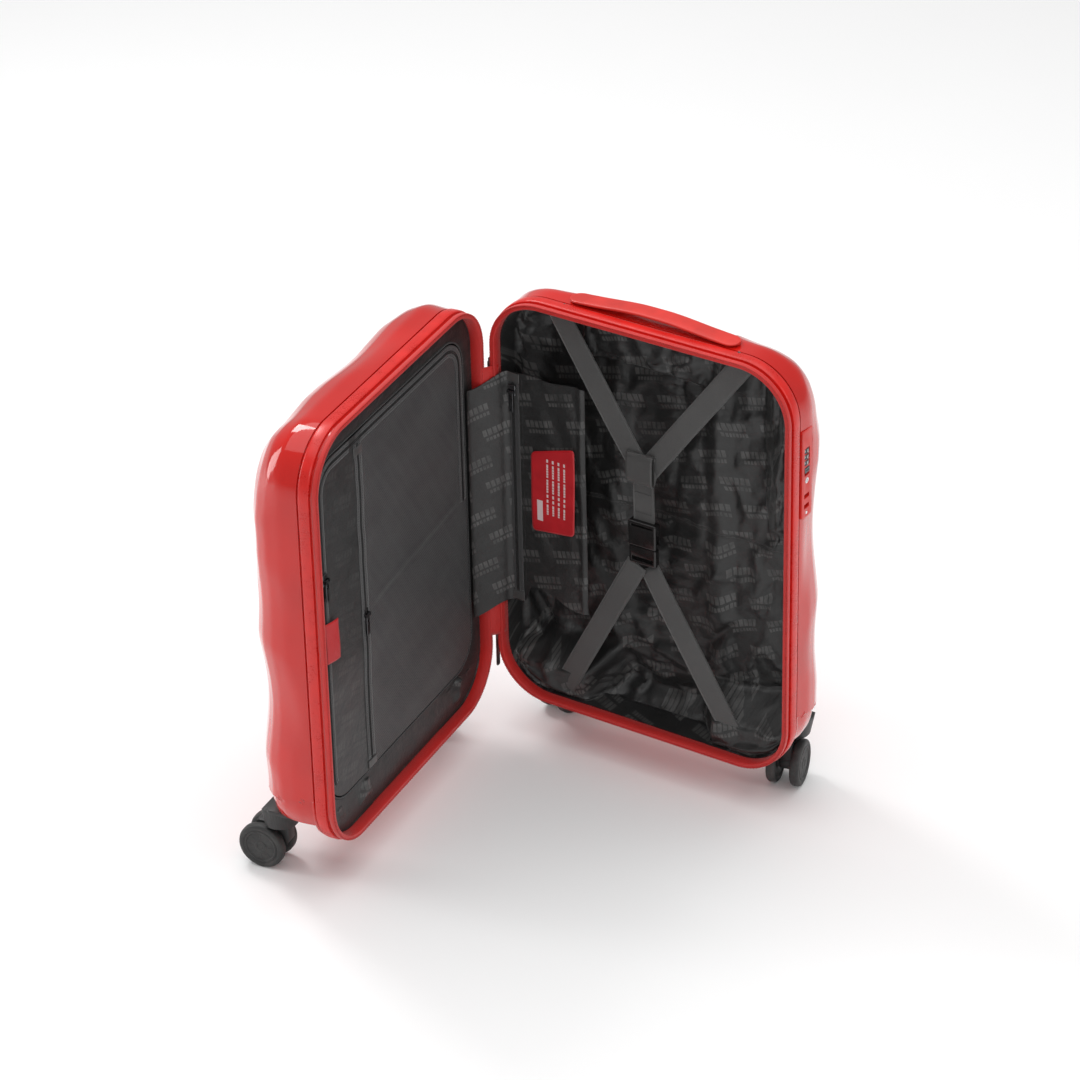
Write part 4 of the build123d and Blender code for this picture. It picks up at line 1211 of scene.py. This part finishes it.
def make_divider():
    """Divider leaf: main cloth, side pocket with its zip, the zip round its edge and the border behind it."""
    xs = np.unique(np.concatenate([crowded(*DIVIDER_X, 96, power=0.3), [SPLIT_X]]))
    zs = crowded(*DIVIDER_Z, 130, power=0.3)
    gx, gz = snapped_grid(xs, zs, (DIVIDER_X[0], DIVIDER_Z[0]), (DIVIDER_X[1], DIVIDER_Z[1]), DIVIDER_RADIUS)
    x, z = gx.ravel(), gz.ravel()
    y = divider_depth(x, z)
    points = np.column_stack([x, y, z])
    uv = np.column_stack([x, z]) * 0.001
    split = int(np.searchsorted(xs, SPLIT_X))
    rows = len(zs)
    faces = grid_faces(len(xs), rows)
    main = [f for f in faces if f[0] // rows < split]
    side = [f for f in faces if f[0] // rows >= split]
    for name, chosen, material, flat in (("divider_panel_cloth", main, "twill", (0.230, 0.400)),
                                         ("divider_pocket_cloth", side, "side_panel", (0.084, 0.400))):
        cloth = piece(name, points, chosen, material, "front", uv, closed=False, sharp=80)
        with edited(cloth.data) as work:
            bmesh.ops.delete(work, geom=[v for v in work.verts if not v.link_faces], context="VERTS")
        thicken(cloth, 0.9)
        smooth(cloth, 80)
        settle(cloth, "divider", "divider_twill", *(["divider_panel"] if material == "twill" else []))
    x_line = 252.0
    path_z = np.linspace(112.0, 490.0, 90)
    line = np.full(len(path_z), x_line)
    path = np.column_stack([line, np.minimum(divider_depth(line, path_z) - 0.7, DIVIDER_Y - 0.6), path_z])
    strip = zip_run("divider_pocket_zip", path, "front", "divider", 7.5)
    lowest, highest = [(corner.z + limit) * 1000 for corner, limit in
                       zip(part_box("divider_pocket_slider"), JOINTS["divider_pocket_zip"]["range_m"])]
    tabs = [rounded_box(f"stop_{k}", (x_line - 8.5, x_line + 8.5), (DIVIDER_Y - 2.9, DIVIDER_Y - 1.3), reach, 0.7,
                        material="satin", half="front")
            for k, reach in enumerate(((lowest - 10.5, lowest - 1.0), (highest + 1.0, highest + 11.0)))]
    settle(join("divider_pocket_stops", tabs), "divider", "zip_metal")
    loop = outline(DIVIDER_X[1] - DIVIDER_X[0] - 16.0, DIVIDER_Z[1] - DIVIDER_Z[0] - 14.0, MID_Z - DIVIDER_MID_Z,
                   DIVIDER_RADIUS - 8.0, 26, (90, 110))
    start = int(np.argmin(np.hypot(loop[:, 0] - 330.0, loop[:, 1] - 122.0)))
    ordered = np.roll(loop, -start, axis=0)
    run = ordered[:int(np.argmin(np.hypot(ordered[:, 0] - 32.0, ordered[:, 1] - 300.0)))]
    strip = zip_run("divider_zip", at_depth(run, DIVIDER_Y - 0.9), "front", "divider", 6.5)
    make_border()


def make_border():
    """Lining frame between the front rim and the divider's zip, with a bound edge."""
    outer = outline(RIM_WIDTH - 2 * LINING_INSET, RIM_HEIGHT - 2 * LINING_INSET, 0.0, LINING_RADIUS, 24, (60, 80))
    inner = outline(DIVIDER_X[1] - DIVIDER_X[0] + 5.0, DIVIDER_Z[1] - DIVIDER_Z[0] + 5.0, MID_Z - DIVIDER_MID_Z,
                    DIVIDER_RADIUS + 2.5, 24, (60, 80))
    rows = 16
    points, uv = [], []
    for i in range(rows):
        t = i / (rows - 1)
        ring = outer + (inner - outer) * t
        wave = fractal(at_depth(ring, 0.0), 38.0, 2, 70.0)
        depth = LINING_LIP + 0.6 + 3.0 * t - 1.5 * sin(pi * t) * (0.6 + 0.7 * wave)
        for p, d in zip(ring, depth):
            points.append((p[0], d, p[1]))
            uv.append((p[0] * 0.001, p[1] * 0.001))
    border = piece("front_lining_border", points, grid_faces(rows, len(outer), False, True), "border", "front", uv,
                   closed=False, sharp=80)
    thicken(border, 0.7)
    settle(border, "front_half", "lining_grey", "front_lining")
    edge = beads("border_binding", at_depth(inner, LINING_LIP + 2.4, True), 3.2, (3.0, 1.5, 1.3), "binding",
                 "front", (0, -1, 0))
    settle(edge, "front_half", "lining_grey")


def divider_tag():
    """Small red loop tag caught in the divider's side seam."""
    rows, columns = 20, 10
    points, uv = [], []
    for i in range(rows):
        for j in range(columns):
            u, v = j / (columns - 1), i / (rows - 1)
            x = 335.0 - 23.0 * u
            z = 275.0 + 47.0 * v - 3.0 * u
            points.append((x, DIVIDER_Y - 3.0 - 2.2 * sin(pi * u * 0.6) - 0.4 * sin(5 * v), z))
            uv.append((u * 0.023, v * 0.047))
    tag = piece("divider_tag", points, grid_faces(rows, columns), "tag", "front", uv, closed=False, sharp=80)
    thicken(tag, 0.9)
    settle(tag, "divider", "zip_red")


# ---- lock ------------------------------------------------------------------------------------------
DIGIT_SIZE = 0.0046
DIGIT_SINK, DIGIT_RISE = 0.12, 0.03           # how far a digit reaches into and out of its dial


def digit_text(name, digit, centre, radius):
    """Raised digit, laid against the dial."""
    text = bpy.data.curves.new(name, "FONT")
    text.body = str(digit)
    text.size = DIGIT_SIZE
    text.align_x, text.align_y = "CENTER", "CENTER"
    text.extrude = 0.00005
    text.resolution_u = 2
    made = placed(name, text)
    turn = radians(36.0 * digit)
    outward, right = Vector((cos(turn), sin(turn), 0.0)), Vector((-sin(turn), cos(turn), 0.0))
    facing = Matrix((right, Vector((0, 0, 1)), outward)).transposed().to_4x4()
    made.matrix_world = Matrix.Translation(Vector(centre * 0.001) + outward * radius * 0.001) @ facing
    return made


def wrapped(made, graph, centre, radius):
    """The digit as a mesh that follows the dial's curve."""
    mesh = bpy.data.meshes.new_from_object(made.evaluated_get(graph))
    mesh.transform(made.matrix_world)
    facing = made.matrix_world.to_3x3().col[2].xy
    middle = Vector(centre[:2] * 0.001)
    for vertex in mesh.vertices:
        out = vertex.co.xy - middle
        sunk = out.dot(facing) < radius * 0.001
        vertex.co.xy = middle + out.normalized() * (radius - DIGIT_SINK if sunk else radius + DIGIT_RISE) * 0.001
    solid = placed(made.name + "_solid", mesh)
    bpy.data.objects.remove(made)
    return solid


def make_lock():
    """Lock plate and slide from the CAD, and the ten digits of each dial."""
    softened("lock_plate", "lock_housing", 0.3, "lock", "lock_red", 2, merge=False)
    softened("lock_slide_button", "lock_button", 0.25, "gunmetal", "lock_red", 2)
    for number in (1, 2, 3):
        low, high = [np.array(v) * 1000 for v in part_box(f"lock_dial_{number}")]
        centre, radius = (low + high) / 2, (high[0] - low[0]) / 2
        marks = [digit_text(f"mark_{number}_{digit}", digit, centre, radius) for digit in range(10)]
        bpy.context.view_layer.update()
        graph = bpy.context.evaluated_depsgraph_get()
        joined = join(f"dial_digits_{number}", [wrapped(mark, graph, centre, radius) for mark in marks])
        paint(joined, "digit")
        settle(joined, f"lock_dial_{number}", "lock_metal")


# ---- casters ---------------------------------------------------------------------------------------
WHEEL_PROFILE = ((4.5, 0.0), (4.5, 3.6), (5.0, 4.2), (5.0, 6.4), (4.5, 7.0), (4.3, 15.8), (4.9, 16.6), (5.35, 17.0),
                 (5.35, 18.2), (4.8, 18.7), (4.6, 19.6), (5.1, 20.4), (5.5, 21.2), (5.45, 22.9), (5.0, 24.3),
                 (4.1, 25.3), (2.9, 25.85), (1.2, 26.0), (-1.2, 26.0), (-2.9, 25.85), (-4.1, 25.3), (-5.0, 24.3),
                 (-5.45, 22.9), (-5.4, 20.2), (-4.2, 19.4), (-4.0, 9.0), (-5.3, 8.2), (-5.4, 2.7), (3.2, 2.6),
                 (3.2, 0.0))


SPOKES = 8
SPOKE_REACH = (7.6, 15.4)                     # radii of a spoke's ends
SPOKE_OUT = (4.25, 4.15)                      # their places along the axle


def make_casters():
    """Housings and forks from the CAD, with turned wheels and raised spokes."""
    for half in ("back", "front"):
        softened(f"{half}_caster_cups", f"{half}_caster_housings", 0.7, "black", "black_plastic", 2)
        for side in ("hinge", "lock"):
            caster = f"caster_{half}_{side}"
            softened(f"{caster}_fork_body", f"{caster}_fork", 0.8, "black", "black_plastic", 2)
            for letter, sign in (("a", 1), ("b", -1)):
                spin = JOINTS[f"{caster}_wheel_{letter}_spin"]
                centre = np.array(spin["pos_m"]) * 1000 - CASE_ORIGIN
                outward = np.array(spin["axis"]) * sign
                wheel = lathe(f"{caster}_tyre_{letter}", WHEEL_PROFILE, centre, outward, "wheel", segments=96)
                settle(wheel, f"{caster}_wheel_{letter}", "wheel_black", f"{caster}_wheel_{letter}")
                smooth(wheel, 32)
                spokes = []
                along = outward / np.linalg.norm(outward)
                side_way = np.cross(along, (0.0, 0.0, 1.0))
                up = np.cross(along, side_way)
                for k in range(SPOKES):
                    turn = 2 * pi * k / SPOKES
                    run = side_way * cos(turn) + up * sin(turn)
                    ends = [centre + along * out + run * reach for out, reach in zip(SPOKE_OUT, SPOKE_REACH)]
                    spokes.append(beads(f"spoke_{k}", ends, 7.8, (7.8, 1.1, 0.9), "wheel_face", across=along))
                settle(join(f"{caster}_spokes_{letter}", spokes), f"{caster}_wheel_{letter}", "wheel_black")


# ---- trolley ---------------------------------------------------------------------------------------
def make_trolley():
    softened("grip_bar", "trolley_grip", 0.5, "black", "black_plastic", 2)
    softened("grip_button", "trolley_button", 0.25, "gunmetal", "black_plastic", 2)
    softened("recess_plate", "trolley_bezel", 0.5, "black", "black_plastic", 2, merge=False)


# ---- everything ------------------------------------------------------------------------------------
CAD_FINISH = {
    "gunmetal": ("hinge_pocket_slider", "hinge_pocket_pull", "main_zip_sliders", "main_zip_pull_top",
                 "main_zip_pull_bottom", "divider_slider", "divider_pull", "divider_pocket_slider",
                 "divider_pocket_pull"),
    "aluminium": ("trolley_outer_tubes", "trolley_middle_tubes", "trolley_inner_tubes"),
    "black": ("trolley_foot_bracket",),
    "handle": ("handle_feet",),
    "dial": ("lock_dial_1", "lock_dial_2", "lock_dial_3"),
    "chrome": ("lock_key_core", "lock_reset_pin"),
    "steel": tuple(f"caster_{half}_{side}_axle" for half in ("back", "front") for side in ("hinge", "lock")),
}


def paint_cad():
    """Finishes of the CAD nodes that show as they are."""
    for key, nodes in CAD_FINISH.items():
        for node in nodes:
            paint(frame["nodes"][node], key)


def make_studio():
    """Pale floor, white surroundings and soft boxes."""
    reach = 6.0
    mesh = bpy.data.meshes.new("floor")
    mesh.from_pydata([(-reach, -reach, 0), (reach, -reach, 0), (reach, reach, 0), (-reach, reach, 0)], [],
                     [(0, 1, 2, 3)])
    floor = placed("floor", mesh)
    mesh.materials.append(pale_floor())
    world = bpy.data.worlds.new("studio")
    bpy.context.scene.world = world
    world.use_nodes = True
    background = world.node_tree.nodes["Background"]
    background.inputs["Color"].default_value = (1.0, 1.0, 1.0, 1.0)
    background.inputs["Strength"].default_value = 0.42
    boxes = (                                 # name, place, aim, size and power
        ("top", (0.0, 0.4, 4.0), (0.0, 0.4, 0.0), (5.5, 5.5), 125.0),
        ("window", (-1.5, 0.5, 2.1), (-0.1, 0.0, 0.5), (0.55, 0.9), 15.0),
        ("left", (-2.2, -0.9, 0.9), (0.0, 0.0, 0.3), (0.5, 1.7), 13.0),
        ("right", (2.4, 0.2, 1.3), (0.0, 0.0, 0.3), (0.6, 1.6), 11.0),
        ("front", (1.2, -3.0, 2.2), (0.0, 0.0, 0.3), (1.4, 1.0), 14.0),
    )
    for name, place, aim, size, power in boxes:
        light = bpy.data.lights.new(name, "AREA")
        light.shape = "RECTANGLE"
        light.size, light.size_y = size
        light.energy = power
        lamp = placed(name, light)
        lamp.location = place
        lamp.rotation_euler = (Vector(aim) - Vector(place)).to_track_quat("-Z", "Y").to_euler()
    bpy.context.scene.view_settings.view_transform = "Standard"


def make_camera():
    """The photo's camera: fitted place, turn and lens."""
    place = (2.0409, -3.0957, 2.6041)
    yaw, pitch, roll = radians(-33.19), radians(31.31), radians(-1.40)
    forward = Vector((sin(yaw) * cos(pitch), cos(yaw) * cos(pitch), -sin(pitch)))
    level = Vector((cos(yaw), -sin(yaw), 0.0))
    upright = level.cross(forward)
    right = level * cos(roll) + upright * sin(roll)
    up = upright * cos(roll) - level * sin(roll)
    camera = bpy.data.cameras.new("camera")
    camera.sensor_width = 36.0
    camera.lens = 141.8
    camera.clip_end = 50.0
    made = placed("camera", camera)
    turn = Matrix((right, up, -forward)).transposed().to_4x4()
    made.matrix_world = Matrix.Translation(place) @ turn
    bpy.context.scene.camera = made


for make in (make_shell, make_rim, make_lining):
    for half in ("back", "front"):
        make(half)
carry_handle()
make_straps()
make_keeper()
make_buckle()
hinge_pocket()
pocket_label()
hinge_strip()
make_divider()
divider_tag()
make_lock()
make_casters()
make_trolley()
paint_cad()
make_studio()
make_camera()
